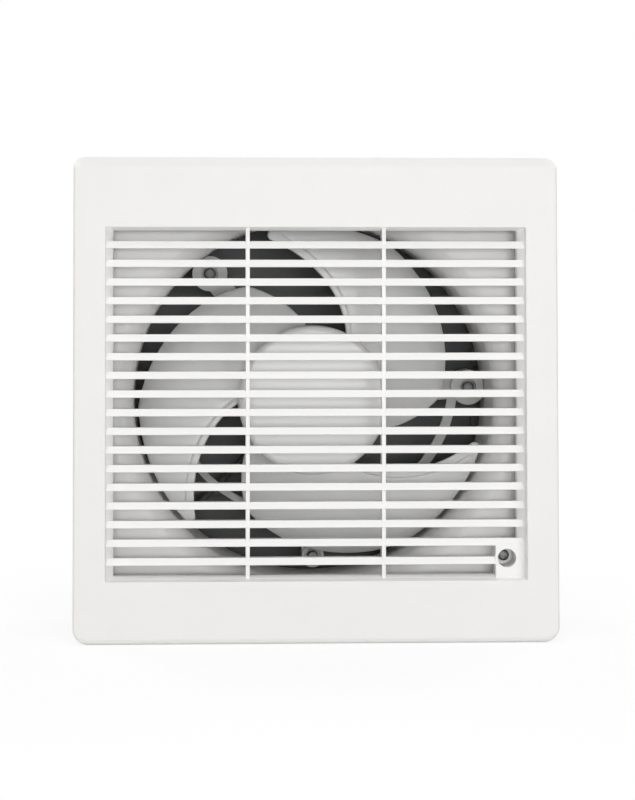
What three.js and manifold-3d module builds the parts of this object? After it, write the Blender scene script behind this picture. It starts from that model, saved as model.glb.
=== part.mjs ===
// Window exhaust fan with a slatted front panel, a three-blade impeller and a rear gravity shutter.
// Millimetres. X to the right, +Y through the wall to the outdoors, +Z up.
// The origin lies on the fan axis, in the plane of the wall's room side.
import * as THREE from 'three';
import { mergeVertices } from 'three/addons/utils/BufferGeometryUtils.js';
import { ConvexGeometry } from 'three/addons/geometries/ConvexGeometry.js';
import Module from 'manifold-3d';

const wasm = await Module();
wasm.setup();

// ---------------------------------------------------------------- driving dimensions

const SEAT_GAP = 0.3; // between pieces that rest on each other
const RUN_GAP = 0.1; // radial, round turning pieces
const WELD = 1e-3;
const PAST = 1; // how far a cut runs past the face that it opens

// Sides of the polygons that stand for circles.
const LARGE_SIDES = 48;
const HUB_SIDES = 40;
const MOTOR_SIDES = 24;
const BOSS_SIDES = 20;
const SMALL_SIDES = 12;
const CORNER_SEGMENTS = 2;

// Front panel, a hollow moulding whose face leans out towards the bottom.
const PANEL_WIDTH = 340;
const PANEL_HEIGHT = 340;
const PANEL_RISE = 3; // panel centre above the fan axis
const PANEL_WALL = 2.5;
const PANEL_TOP_DEPTH = 30; // face to wall at the top edge
const PANEL_BOTTOM_DEPTH = 42; // face to wall at the bottom edge
const PANEL_TOP_RADIUS = 8;
const PANEL_BOTTOM_RADIUS = 11;
const PANEL_TOP_BEVEL = 7; // height of the sloping top edge
const PANEL_TOP_CREASE = 1.75; // how far the slope's rounding keeps from both of its ends
const PANEL_BOTTOM_ROUND = 4;
const PANEL_INNER_ROUND = 0.5;

// Grille opening and its slats, round the fan axis. The mouth in front of the slats is wider.
const GRILLE_WIDTH = 285;
const GRILLE_HEIGHT = 243;
const GRILLE_DEPTH = 27; // slat front to wall
const FUNNEL_LENGTH = 5; // the slope from the slats' front back to the grille's own width
const FUNNEL_SIDE_FLARE = 5;
const FUNNEL_END_FLARE = 2;
const SLAT_PITCH = 13.1;
const SLAT_HEIGHT = 5.3;
const SLAT_DEPTH = 12;
const SLAT_FACE_LEAN = 1.5;
const SLAT_LOWER_DRAFT = 0.8;
const SLAT_UPPER_DRAFT = 0.4;
const RIB_WIDTH = 2.9;
const RIB_SETBACK = 0.75; // behind the slats' lower front edges
const RIB_OFFSET = 48; // each upright rib from the fan axis

// Panel screw in its well, in the grille's lower right corner.
const WELL_IN_X = 7.5; // well centre from the grille's side
const WELL_IN_Z = 11.8; // well centre from the grille's lower edge
const WELL_RADIUS = 6.5;
const WELL_WALL = 2.2;
const WELL_BLOCK_MARGIN = 8; // well centre to the block's left and top
const PANEL_SCREW_HEAD_DEPTH = 8; // head seat to wall
const PANEL_SCREW_RADIUS = 2;
const PANEL_SCREW_LENGTH = 15;
const PANEL_SCREW_BORE = 2.6;
const SCREW_BOSS_RADIUS = 6;
const SCREW_BOSS_LENGTH = 12;
const RETAINER_RADIUS = 5;
const RETAINER_THICKNESS = 1;

// Hooks: round lugs of the panel hang in open ears of the housing.
const HOOK_X = 80;
const HOOK_RADIUS = 2;
const HOOK_LENGTH = 16;
const HOOK_NECK = 2.8;
const HOOK_DEPTH = 5.4; // axis to wall
const HOOK_BELOW_TOP = 5.5; // axis below the panel's top
const EAR_WIDTH = 4;
const EAR_WALL = 1.6;

// Impeller and its cap.
const BLADE_COUNT = 3;
const BLADE_RADIUS = 127;
const BLADE_THICKNESS = 2.4;
const BLADE_EDGE = 0.03; // share of the blade's width at each edge that keeps one thickness
const BLADE_LEAD_ROOT_DEG = 62.5;
const BLADE_TRAIL_ROOT_DEG = -27;
const BLADE_SWEEP_DEG = 47; // both edges, from hub to tip
const BLADE_ROUND_FROM = 0.56; // share of the blade's length where the trailing edge starts to round off
const BLADE_ROUND_DEG = 108.3;
const BLADE_ROUND_POWER = 1.14;
const BLADE_LEAD_ROOT_Y = 21;
const BLADE_LEAD_TIP_Y = 15;
const BLADE_TRAIL_ROOT_Y = 42.5;
const BLADE_TRAIL_TIP_Y = 46;
const BLADE_CAMBER = 3;
const BLADE_STEPS_ACROSS = 8;
const BLADE_STEPS_ALONG = 10;
const HUB_RADIUS = 54;
const HUB_WALL = 2.2;
const HUB_REAR = 45;
const HUB_BOSS_RADIUS = 11;
const HUB_BOSS_STEP = 1; // boss in front of the web
const HUB_BOSS_TAIL = 3; // boss behind the hub's rim
const CAP_FRONT = 8;
const CAP_EDGE_RADIUS = 8;
const CAP_SKIRT = 2; // straight part behind the rounded edge
const CAP_SPIGOT_LENGTH = 5;
const CAP_TO_WEB = 1;
const CAP_STEPS = 3;
const NUT_FLATS = 13;
const NUT_SIDES = 6;
const NUT_HEIGHT = 5;
const WASHER_RADIUS = 9;
const WASHER_THICKNESS = 1.2;
const DRIVE_PIN_RADIUS = 1.5;
const DRIVE_PIN_LENGTH = 18;

// Housing: wall flange, bell-mouth, throat and square box.
const FLANGE_SIDE_INSET = 3; // flange inside the panel's outline, at the sides
const FLANGE_END_INSET = 6; // the same at the top and bottom
const FLANGE_THICKNESS = 3;
const FLANGE_RADIUS = 6;
const FLANGE_HOLE_RADIUS = 2.5;
const FLANGE_HOLE_INSET = 8;
const TIP_CLEARANCE = 3; // blade tips to throat
const BELL_RADIUS = 16;
const BELL_STEPS = 4;
const THROAT_TO_BOX = 11; // throat's outside to the box's outside
const BOX_WALL = 2.5;
const BOX_RADIUS = 10;

// Motor bracket, a plate with three arms and two curved braces.
const ARM_ANGLES = [3.5, 129, 271];
const ARM_NAMES = ['right', 'upper', 'lower'];
const ARM_WIDTH = 16;
const ARM_BOSS_RADIUS = 13;
const ARM_BOSS_INSET = 12; // boss centre inside the throat
const ARM_BOSS_HEIGHT = 3; // in front of the bracket's plate
const HOUSING_BOSS_LENGTH = 15; // bosses behind the bracket
const BLADE_TO_BRACKET = 10;
const BRACKET_THICKNESS = 4;
const BRACKET_RING_MARGIN = 4; // ring outside the motor
const BRACKET_BORE_RADIUS = 24;
const BRACE_WIDTH = 7;
const BRACE_ROOT_RADIUS = 84; // where both braces leave the lower arm
const BRACE_RIGHT_RADIUS = 107; // where they reach the other arms
const BRACE_UPPER_RADIUS = 118;
const BRACE_STEPS = 12;
const BRACKET_SCREW_RADIUS = 2;
const BRACKET_SCREW_HEAD = 4.4;
const BRACKET_SCREW_LENGTH = 18;

// Motor.
const MOTOR_RADIUS = 42;
const MOTOR_SHELL = 2.2;
const DAMPER_RADIUS = 45;
const DAMPER_THICKNESS = 2;
const STACK_LENGTH = 14;
const FRONT_SHELL_LENGTH = 11;
const REAR_SHELL_LENGTH = 9.5;
const MOTOR_TO_BOX_END = 0.6;
const ROTOR_RADIUS = 22;
const AIR_GAP = 0.35;
const WINDING_THICKNESS = 8.5;
const WINDING_TO_BOLT = 1.1;
const WINDING_SIDES = 8;
const BOLT_ANGLES = [45, 135, 225, 315];
const BOLT_INSET = 5.6; // bolt centres inside the motor's outside
const BOLT_RADIUS = 1.8;
const BOLT_TAIL = 1; // past the rear shell
const SHAFT_RADIUS = 4;
const SHAFT_PAST_NUT = 0.7;
const SHAFT_REAR_INSET = 1;
const BUSH_RADIUS = 7;
const BUSH_LENGTH = 8;
const BUSH_SEAT_WALL = 2.2;

// Rear shutter.
const SHUTTER_LENGTH = 21;
const SHUTTER_WALL = 3;
const SHUTTER_LEDGE = 13;
const LEDGE_RADIUS = 3;
const FLAP_COUNT = 5;
const FLAP_HEADROOM = 12; // highest pivot below the frame's inside
const FLAP_FOOTROOM = 10; // one pitch below the lowest pivot, above the frame's inside
const FLAP_OVERLAP = 2.5;
const FLAP_THICKNESS = 1.6;
const FLAP_LEAN_DEG = 2.5;
const FLAP_NOTCH = 8; // lower corners, clear of the next flap's pins and crank
const FLAP_SIDE_GAP = 3;
const PIVOT_RADIUS = 2;
const PIVOT_ROOT = 4; // pin length inside the flap's edge
const PIVOT_INSET = 0.5; // pin end inside the frame's outside
const PIVOT_SETBACK = 8; // pivot behind the shutter's front
const CRANK_LENGTH = 10;
const CRANK_DEG = 55; // from straight down, towards the outdoors
const CRANK_WEB = 4.5;
const CRANK_BOSS_RADIUS = 3;
const CRANK_PIN_RADIUS = 1.5;
const LINK_WIDTH = 6;
const LINK_THICKNESS = 2.4;
const SHUTTER_SCREW_INSET = 26; // from the box's side
const SHUTTER_SCREW_RADIUS = 1.7;
const SHUTTER_SCREW_LENGTH = 12;
const SHUTTER_BOSS_WIDTH = 10;

// Wiring in the housing's corner pockets.
const POCKET_INSET = 27; // pocket centres from the box's outside
const CAPACITOR_WIDTH = 32;
const CAPACITOR_LENGTH = 17;
const CAPACITOR_HEIGHT = 22;
const STRAP_WIDTH = 10;
const STRAP_THICKNESS = 1.2;
const TERMINAL_WIDTH = 28;
const TERMINAL_LENGTH = 13;
const TERMINAL_HEIGHT = 16;
const TERMINAL_HEADROOM = 1;
const TERMINAL_COVER_WALL = 1.6;
const LEAD_RADIUS = 2.6;
const LEAD_DEG = 225; // the lead runs in one plane through the fan axis
const LEAD_SEGMENTS = 22;
const LEAD_STRAIGHT = 17; // from the motor's side
const LEAD_IN_THROAT = 5; // first bend, inside the throat
const LEAD_BENDS = [[13, 9], [3, 26], [0, 48]]; // inside the pocket's radius, and below the shell's middle
const GROMMET_RADIUS = 8;
const GROMMET_NECK = 5.7;
const GROMMET_BORE = 3.8;
const GROMMET_RIM = 2.5;
const GROMMET_Y = 34;

// ---------------------------------------------------------------- shape helpers

function toSolid(geometry) {
  const bare = geometry.index ? geometry.toNonIndexed() : geometry.clone();
  bare.deleteAttribute('normal');
  bare.deleteAttribute('uv');
  const merged = mergeVertices(bare, WELD / 10);
  return new wasm.Manifold(new wasm.Mesh({
    numProp: 3,
    vertProperties: Float32Array.from(merged.attributes.position.array),
    triVerts: Uint32Array.from(merged.index.array),
  }));
}

// The solid's own vertices, with those closer than WELD made one and the triangles between them left out.
function toGeometry(solid) {
  const mesh = solid.getMesh();
  const raw = new THREE.BufferGeometry();
  raw.setAttribute('position', new THREE.BufferAttribute(mesh.vertProperties, 3));
  raw.setIndex(new THREE.BufferAttribute(mesh.triVerts, 1));
  const geometry = mergeVertices(raw, WELD);
  const index = [];
  for (let i = 0; i < geometry.index.count; i += 3) {
    const [a, b, c] = [0, 1, 2].map((k) => geometry.index.getX(i + k));
    if (a !== b && b !== c && c !== a) index.push(a, b, c);
  }
  geometry.setIndex(index);
  geometry.computeVertexNormals();
  return geometry;
}

const joined = (first, ...others) => others.reduce((sum, other) => sum.add(other), first);
const cutBy = (first, ...tools) => tools.reduce((rest, tool) => rest.subtract(tool), first);
const radians = (degrees) => THREE.MathUtils.degToRad(degrees);
const polar = (radius, degrees) => [radius * Math.cos(radians(degrees)), radius * Math.sin(radians(degrees))];
const middled = (centre, size) => [centre - size / 2, centre + size / 2];

function block([x0, x1], [y0, y1], [z0, z1]) {
  const box = new THREE.BoxGeometry(x1 - x0, y1 - y0, z1 - z0);
  return toSolid(box.translate((x0 + x1) / 2, (y0 + y1) / 2, (z0 + z1) / 2));
}

// A closed outline of [radius, y] points turned about the fan axis.
function turned(outline, sides = MOTOR_SIDES) {
  const area = outline.reduce((sum, [r, y], i) => {
    const [nextR, nextY] = outline[(i + 1) % outline.length];
    return sum + r * nextY - nextR * y;
  }, 0);
  const points = (area > 0 ? outline : [...outline].reverse()).map(([r, y]) => new THREE.Vector2(r, y));
  return toSolid(new THREE.LatheGeometry([...points, points[0].clone()], sides));
}

const tube = (inner, outer, y0, y1, sides = MOTOR_SIDES) =>
  turned([[inner, y0], [outer, y0], [outer, y1], [inner, y1]], sides);

// Points on a quarter circle round [radius, y], from the front of that centre to its side.
const quarter = ([centreR, centreY], radius, steps, side) =>
  Array.from({ length: steps + 1 }, (_, i) => {
    const angle = (i / steps) * (Math.PI / 2);
    return [centreR + side * radius * Math.sin(angle), centreY - radius * Math.cos(angle)];
  });

// A round bar along Y, at x and z.
function barY(radius, y0, y1, x = 0, z = 0, sides = SMALL_SIDES) {
  return toSolid(new THREE.CylinderGeometry(radius, radius, y1 - y0, sides).translate(x, (y0 + y1) / 2, z));
}

// A round bar along X, at y and z.
function barX(radius, x0, x1, y = 0, z = 0) {
  const bar = new THREE.CylinderGeometry(radius, radius, x1 - x0, SMALL_SIDES).rotateZ(-Math.PI / 2);
  return toSolid(bar.translate((x0 + x1) / 2, y, z));
}

const extruded = (shape, depth) =>
  new THREE.ExtrudeGeometry(shape, { depth, bevelEnabled: false, curveSegments: CORNER_SEGMENTS });

// A shape drawn in X and Z, as thick as y0 to y1.
const slabY = (shape, y0, y1) => toSolid(extruded(shape, y1 - y0).rotateX(Math.PI / 2).translate(0, y1, 0));

// A shape drawn in Y and Z, as wide as x0 to x1.
function slabX(shape, x0, x1) {
  const turn = new THREE.Matrix4().makeBasis(
    new THREE.Vector3(0, 1, 0), new THREE.Vector3(0, 0, 1), new THREE.Vector3(1, 0, 0));
  return toSolid(extruded(shape, x1 - x0).applyMatrix4(turn).translate(x0, 0, 0));
}

// A rectangle in X and Z round the height midZ, with its own corner radius at the top and the bottom.
function roundedRectangle(width, height, topRadius, bottomRadius = topRadius, midZ = 0) {
  const [right, top, bottom] = [width / 2, midZ + height / 2, midZ - height / 2];
  const shape = new THREE.Shape();
  shape.moveTo(right, bottom + bottomRadius);
  shape.lineTo(right, top - topRadius);
  shape.absarc(right - topRadius, top - topRadius, topRadius, 0, Math.PI / 2);
  shape.lineTo(topRadius - right, top);
  shape.absarc(topRadius - right, top - topRadius, topRadius, Math.PI / 2, Math.PI);
  shape.lineTo(-right, bottom + bottomRadius);
  shape.absarc(bottomRadius - right, bottom + bottomRadius, bottomRadius, Math.PI, Math.PI * 1.5);
  shape.lineTo(right - bottomRadius, bottom);
  shape.absarc(right - bottomRadius, bottom + bottomRadius, bottomRadius, -Math.PI / 2, 0);
  return shape;
}

const roundedSquare = (width, radius) => roundedRectangle(width, width, radius);

// The hull of two rectangles round the fan axis, one at each end of a stretch of Y.
function taperedBlock([width0, height0, y0], [width1, height1, y1]) {
  const corners = [];
  for (const [width, height, y] of [[width0, height0, y0], [width1, height1, y1]]) {
    for (const x of middled(0, width)) {
      for (const z of middled(0, height)) corners.push(new THREE.Vector3(x, y, z));
    }
  }
  return toSolid(new ConvexGeometry(corners));
}

// A pan-head screw with a cross recess. Its head looks to the room, and the head's underside is at y = 0.
function panHeadScrew({ radius, length, headRadius = radius * 2 }) {
  const headHeight = radius * 1.1;
  const crownHeight = radius * 0.5;
  const tipRadius = radius * 0.25;
  const outline = [
    [0, -headHeight], [headRadius * 0.7, -headHeight + crownHeight * 0.3], [headRadius, -crownHeight * 0.4],
    [headRadius, 0], [radius, 0], [radius, length - radius], [tipRadius, length], [0, length],
  ].map(([r, y]) => new THREE.Vector2(r, y));
  const body = toSolid(new THREE.LatheGeometry(outline, SMALL_SIDES));
  const slotWidth = middled(0, radius * 0.34);
  const slotReach = middled(0, headRadius * 1.1);
  const slotDepth = [-headHeight - PAST, -headHeight * 0.35];
  return cutBy(body, joined(block(slotReach, slotDepth, slotWidth), block(slotWidth, slotDepth, slotReach)));
}

// ---------------------------------------------------------------- materials and scene graph

const finishes = {
  whitePlastic: { color: 0xeeedeb, roughness: 0.35, metalness: 0 },
  bladePlastic: { color: 0xe9e9e8, roughness: 0.28, metalness: 0 },
  greyPlastic: { color: 0x8f9294, roughness: 0.5, metalness: 0 },
  blackPlastic: { color: 0x2a2b2d, roughness: 0.5, metalness: 0 },
  steel: { color: 0xb4b6b8, roughness: 0.35, metalness: 1 },
  zincSteel: { color: 0xc9ccd0, roughness: 0.3, metalness: 1 },
  laminations: { color: 0x6f7173, roughness: 0.6, metalness: 0.8 },
  copper: { color: 0xb06a3b, roughness: 0.4, metalness: 0.9 },
  bronze: { color: 0x9c7a48, roughness: 0.45, metalness: 0.9 },
  rubber: { color: 0x1c1c1d, roughness: 0.8, metalness: 0 },
};

const fan = new THREE.Group();

function newGroup(x = 0, y = 0, z = 0) {
  const group = new THREE.Group();
  group.position.set(x, y, z);
  fan.add(group);
  return group;
}

function place(name, solid, finish, { parent = fan, at = [0, 0, 0] } = {}) {
  const mesh = new THREE.Mesh(toGeometry(solid), new THREE.MeshStandardMaterial(finishes[finish]));
  mesh.name = name;
  mesh.position.set(...at);
  parent.add(mesh);
  return mesh;
}

// ---------------------------------------------------------------- front panel

const panelTop = PANEL_RISE + PANEL_HEIGHT / 2;
const panelBottom = PANEL_RISE - PANEL_HEIGHT / 2;
const panelBack = -FLANGE_THICKNESS - SEAT_GAP;
const faceReach = -PANEL_BOTTOM_DEPTH - PAST;
const grilleFront = -GRILLE_DEPTH;
const grilleBack = grilleFront + SLAT_DEPTH;
const mouthWidth = GRILLE_WIDTH + FUNNEL_SIDE_FLARE * 2;
const mouthHeight = GRILLE_HEIGHT + FUNNEL_END_FLARE * 2;
const wallOverlap = PANEL_WALL / 2; // how far slats, ribs and necks run into the panel's walls
const slatCount = Math.floor(GRILLE_HEIGHT / SLAT_PITCH);
const hookZ = panelTop - HOOK_BELOW_TOP;
const hookPlaces = [-HOOK_X, HOOK_X];
const wellX = GRILLE_WIDTH / 2 - WELL_IN_X;
const wellZ = -GRILLE_HEIGHT / 2 + WELL_IN_Z;

// Side view of the panel in Y and Z, drawn in by inset on the face, top and bottom.
function panelSide(inset) {
  const [top, bottom] = [panelTop - inset, panelBottom + inset];
  const [topFace, bottomFace] = [inset - PANEL_TOP_DEPTH, inset - PANEL_BOTTOM_DEPTH];
  const round = Math.max(PANEL_BOTTOM_ROUND - inset, PANEL_INNER_ROUND);
  const side = new THREE.Shape();
  side.moveTo(0, bottom);
  side.lineTo(0, top);
  side.lineTo(topFace + PANEL_TOP_BEVEL, top);
  side.quadraticCurveTo(topFace + PANEL_TOP_CREASE, top - PANEL_TOP_CREASE, topFace, top - PANEL_TOP_BEVEL);
  side.lineTo(bottomFace, bottom + round);
  side.absarc(bottomFace + round, bottom + round, round, Math.PI, Math.PI * 1.5);
  side.closePath();
  return side;
}

function panelBlank(inset, back) {
  const outline = roundedRectangle(PANEL_WIDTH - inset * 2, PANEL_HEIGHT - inset * 2,
    PANEL_TOP_RADIUS - inset, PANEL_BOTTOM_RADIUS - inset, PANEL_RISE);
  const side = slabX(panelSide(inset), ...middled(0, PANEL_WIDTH + PAST));
  return slabY(outline, faceReach, back).intersect(side);
}

function funnel(margin, front, back) {
  const mouth = [mouthWidth + margin * 2, mouthHeight + margin * 2];
  const throat = [GRILLE_WIDTH + margin * 2, GRILLE_HEIGHT + margin * 2];
  const slopeEnd = grilleFront + FUNNEL_LENGTH;
  return joined(
    taperedBlock([...mouth, front], [...mouth, grilleFront]),
    taperedBlock([...mouth, grilleFront], [...throat, slopeEnd]),
    taperedBlock([...throat, slopeEnd], [...throat, back]));
}

function slat(z) {
  const [bottom, top] = middled(z, SLAT_HEIGHT);
  const side = new THREE.Shape([
    new THREE.Vector2(grilleFront, bottom),
    new THREE.Vector2(grilleBack, bottom + SLAT_LOWER_DRAFT),
    new THREE.Vector2(grilleBack, top - SLAT_UPPER_DRAFT),
    new THREE.Vector2(grilleFront + SLAT_FACE_LEAN, top),
  ]);
  return slabX(side, ...middled(0, mouthWidth + wallOverlap * 2));
}

function rib(x) {
  return block(middled(x, RIB_WIDTH), [grilleFront + RIB_SETBACK, grilleBack],
    middled(0, mouthHeight + wallOverlap * 2));
}

function hook(x) {
  return joined(
    barX(HOOK_RADIUS, ...middled(x, HOOK_LENGTH), -HOOK_DEPTH, hookZ),
    block(middled(x, EAR_WIDTH), middled(-HOOK_DEPTH, HOOK_NECK), [hookZ, panelTop - wallOverlap]));
}

function frontPanel() {
  const shell = panelBlank(0, panelBack).subtract(panelBlank(PANEL_WALL, panelBack + PAST));
  const outerFunnel = funnel(PANEL_WALL, faceReach, grilleBack).intersect(panelBlank(0, panelBack));
  const open = joined(shell, outerFunnel).subtract(funnel(0, faceReach - PAST, grilleBack + PAST));
  const slats = Array.from({ length: slatCount }, (_, i) => slat((i - (slatCount - 1) / 2) * SLAT_PITCH));
  const wellBlock = block([wellX - WELL_BLOCK_MARGIN, mouthWidth / 2 + wallOverlap],
    [grilleFront, grilleBack], [-mouthHeight / 2 - wallOverlap, wellZ + WELL_BLOCK_MARGIN]);
  const grille = joined(wellBlock, ...slats, rib(-RIB_OFFSET), rib(RIB_OFFSET))
    .intersect(funnel(wallOverlap, faceReach, grilleBack + PAST));
  const column = barY(WELL_RADIUS + WELL_WALL, grilleFront, panelBack, wellX, wellZ, BOSS_SIDES);
  const solid = joined(open, grille, column, ...hookPlaces.map(hook));
  const seat = -PANEL_SCREW_HEAD_DEPTH;
  return cutBy(solid,
    barY(WELL_RADIUS, faceReach, seat, wellX, wellZ, BOSS_SIDES),
    barY(PANEL_SCREW_RADIUS + SEAT_GAP, faceReach, 0, wellX, wellZ),
    barY(WELL_RADIUS, seat + PANEL_WALL, 0, wellX, wellZ, BOSS_SIDES));
}

const panelGroup = newGroup();
place('front_panel', frontPanel(), 'whitePlastic', { parent: panelGroup });
place('panel_screw', panHeadScrew({ radius: PANEL_SCREW_RADIUS, length: PANEL_SCREW_LENGTH }), 'zincSteel',
  { parent: panelGroup, at: [wellX, -PANEL_SCREW_HEAD_DEPTH - SEAT_GAP, wellZ] });
const retainer = tube(PANEL_SCREW_RADIUS + RUN_GAP, RETAINER_RADIUS, 0, RETAINER_THICKNESS, SMALL_SIDES);
const retainerFront = -PANEL_SCREW_HEAD_DEPTH + PANEL_WALL + SEAT_GAP;
place('panel_screw_retainer', retainer, 'blackPlastic',
  { parent: panelGroup, at: [wellX, retainerFront, wellZ] });

// ---------------------------------------------------------------- places along the fan axis

const hubFront = CAP_FRONT + CAP_EDGE_RADIUS + CAP_SKIRT;
const webFront = hubFront + CAP_SPIGOT_LENGTH + CAP_TO_WEB;
const hubBossRear = HUB_REAR + HUB_BOSS_TAIL;
const bracketFront = BLADE_TRAIL_TIP_Y + BLADE_TO_BRACKET;
const bracketBack = bracketFront + BRACKET_THICKNESS;
const damperFront = bracketBack + SEAT_GAP;
const shellFront = damperFront + DAMPER_THICKNESS + SEAT_GAP;
const stackFront = shellFront + FRONT_SHELL_LENGTH;
const stackBack = stackFront + STACK_LENGTH;
const rearShellFront = stackBack + SEAT_GAP;
const shellBack = rearShellFront + REAR_SHELL_LENGTH;
const throatEnd = bracketBack + HOUSING_BOSS_LENGTH;
const boxEnd = shellBack + MOTOR_TO_BOX_END;
const shutterFront = boxEnd + SEAT_GAP;
const shutterBack = shutterFront + SHUTTER_LENGTH;

// ---------------------------------------------------------------- housing

const flangeWidth = PANEL_WIDTH - FLANGE_SIDE_INSET * 2;
const flangeHeight = PANEL_HEIGHT - FLANGE_END_INSET * 2;
const throatRadius = BLADE_RADIUS + TIP_CLEARANCE;
const throatOuter = throatRadius + FLANGE_THICKNESS;
const bellRim = throatRadius + BELL_RADIUS;
const boxWidth = (throatOuter + THROAT_TO_BOX) * 2;
const shutterInner = boxWidth / 2 - SHUTTER_WALL;
const shutterScrewX = boxWidth / 2 - SHUTTER_SCREW_INSET;
const shutterScrewZ = shutterInner - SHUTTER_SCREW_RADIUS * 2 - SEAT_GAP * 2;
const armPlaces = ARM_ANGLES.map((angle) => polar(throatRadius - ARM_BOSS_INSET, angle));
const corners = [[-1, -1], [-1, 1], [1, -1], [1, 1]];

// Rounded bell-mouth and straight throat, one wall as thick as the flange.
function bellMouth() {
  const centre = [bellRim, BELL_RADIUS - FLANGE_THICKNESS];
  const airSide = quarter(centre, BELL_RADIUS, BELL_STEPS, -1);
  const backSide = quarter(centre, BELL_RADIUS - FLANGE_THICKNESS, BELL_STEPS, -1).reverse();
  const rim = bellRim + PAST;
  return turned([[rim, -FLANGE_THICKNESS], ...airSide, [throatRadius, throatEnd],
    [throatOuter, throatEnd], ...backSide, [rim, 0]], LARGE_SIDES);
}

// Two ears, one at each end of a hook's lug, with an open seat for it.
function hookEars(hookX) {
  const seat = HOOK_RADIUS + SEAT_GAP;
  const reach = seat + EAR_WALL;
  return middled(hookX, HOOK_LENGTH - EAR_WIDTH).map((x) => block(middled(x, EAR_WIDTH),
    [-HOOK_DEPTH - reach, -FLANGE_THICKNESS / 2], [hookZ - reach * 2, hookZ])
    .subtract(barX(seat, ...middled(x, EAR_WIDTH * 2), -HOOK_DEPTH, hookZ)));
}

function shutterScrewBoss([sideX, sideZ]) {
  const wall = [boxWidth / 2 - SHUTTER_LEDGE, boxWidth / 2 - BOX_WALL / 2];
  return block(middled(sideX * shutterScrewX, SHUTTER_BOSS_WIDTH), [boxEnd - SHUTTER_SCREW_LENGTH, boxEnd],
    sideZ > 0 ? wall : [-wall[1], -wall[0]]);
}

function baseHousing() {
  const outline = roundedRectangle(flangeWidth, flangeHeight, FLANGE_RADIUS, FLANGE_RADIUS, PANEL_RISE);
  const bellHole = (y0, y1) => barY(bellRim, y0, y1, 0, 0, LARGE_SIDES);
  const flange = slabY(outline, -FLANGE_THICKNESS, 0).subtract(bellHole(-FLANGE_THICKNESS - PAST, PAST));
  const boxFront = -FLANGE_THICKNESS / 2;
  const box = cutBy(slabY(roundedSquare(boxWidth, BOX_RADIUS), boxFront, boxEnd),
    slabY(roundedSquare(boxWidth - BOX_WALL * 2, BOX_RADIUS - BOX_WALL), boxFront - PAST, boxEnd + PAST),
    bellHole(boxFront - PAST, 0));
  const solid = joined(flange, bellMouth(), box,
    ...armPlaces.map(([x, z]) => barY(ARM_BOSS_RADIUS, bracketBack + SEAT_GAP, throatEnd, x, z, BOSS_SIDES)),
    ...hookPlaces.flatMap(hookEars),
    ...corners.map(shutterScrewBoss),
    barY(SCREW_BOSS_RADIUS, boxFront, SCREW_BOSS_LENGTH, wellX, wellZ));
  return cutBy(solid,
    ...armPlaces.map(([x, z]) => barY(BRACKET_SCREW_RADIUS + RUN_GAP, bracketBack, throatEnd + PAST, x, z)),
    ...corners.map(([sideX, sideZ]) => barY(SHUTTER_SCREW_RADIUS + RUN_GAP,
      boxEnd - SHUTTER_SCREW_LENGTH - PAST, boxEnd + PAST, sideX * shutterScrewX, sideZ * shutterScrewZ)),
    ...corners.map(([sideX, sideZ]) => barY(FLANGE_HOLE_RADIUS, -FLANGE_THICKNESS - PAST, PAST,
      sideX * (flangeWidth / 2 - FLANGE_HOLE_INSET),
      PANEL_RISE + sideZ * (flangeHeight / 2 - FLANGE_HOLE_INSET))),
    barY(PANEL_SCREW_BORE, -FLANGE_THICKNESS - PAST, SCREW_BOSS_LENGTH + PAST, wellX, wellZ),
    barX(GROMMET_NECK + SEAT_GAP, -boxWidth / 2 - PAST, -boxWidth / 2 + BOX_WALL + PAST, GROMMET_Y,
      POCKET_INSET - boxWidth / 2));
}

place('base_housing', baseHousing(), 'whitePlastic');

// ---------------------------------------------------------------- motor bracket

const ringRadius = MOTOR_RADIUS + BRACKET_RING_MARGIN;
const boltPlaces = BOLT_ANGLES.map((angle) => polar(MOTOR_RADIUS - BOLT_INSET, angle));

// A flat strip whose radius grows evenly from the lower arm round to another arm.
function brace(endDeg, endRadius) {
  const startDeg = ARM_ANGLES[2];
  const edge = (margin) => Array.from({ length: BRACE_STEPS + 1 }, (_, i) => {
    const along = i / BRACE_STEPS;
    const radius = THREE.MathUtils.lerp(BRACE_ROOT_RADIUS, endRadius, along) + margin;
    return new THREE.Vector2(...polar(radius, THREE.MathUtils.lerp(startDeg, endDeg, along)));
  });
  const outline = [...edge(BRACE_WIDTH / 2), ...edge(-BRACE_WIDTH / 2).reverse()];
  return slabY(new THREE.Shape(outline), bracketFront, bracketBack);
}

function motorBracket() {
  const arms = ARM_ANGLES.map((angle) => block([0, throatRadius - ARM_BOSS_INSET],
    [bracketFront, bracketBack], middled(0, ARM_WIDTH)).rotate([0, -angle, 0]));
  const bosses = armPlaces.map(([x, z]) => barY(ARM_BOSS_RADIUS, bracketFront - ARM_BOSS_HEIGHT, bracketBack,
    x, z, BOSS_SIDES));
  const plate = joined(barY(ringRadius, bracketFront, bracketBack, 0, 0, MOTOR_SIDES), ...arms, ...bosses,
    brace(ARM_ANGLES[0] + 360, BRACE_RIGHT_RADIUS), brace(ARM_ANGLES[1], BRACE_UPPER_RADIUS));
  const throat = barY(throatRadius - SEAT_GAP * 2, 0, throatEnd, 0, 0, LARGE_SIDES);
  return cutBy(plate.intersect(throat),
    barY(BRACKET_BORE_RADIUS, 0, throatEnd, 0, 0, MOTOR_SIDES),
    ...armPlaces.map(([x, z]) => barY(BRACKET_SCREW_RADIUS + SEAT_GAP, 0, throatEnd, x, z)),
    ...boltPlaces.map(([x, z]) => barY(BOLT_RADIUS + RUN_GAP, 0, throatEnd, x, z)));
}

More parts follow.
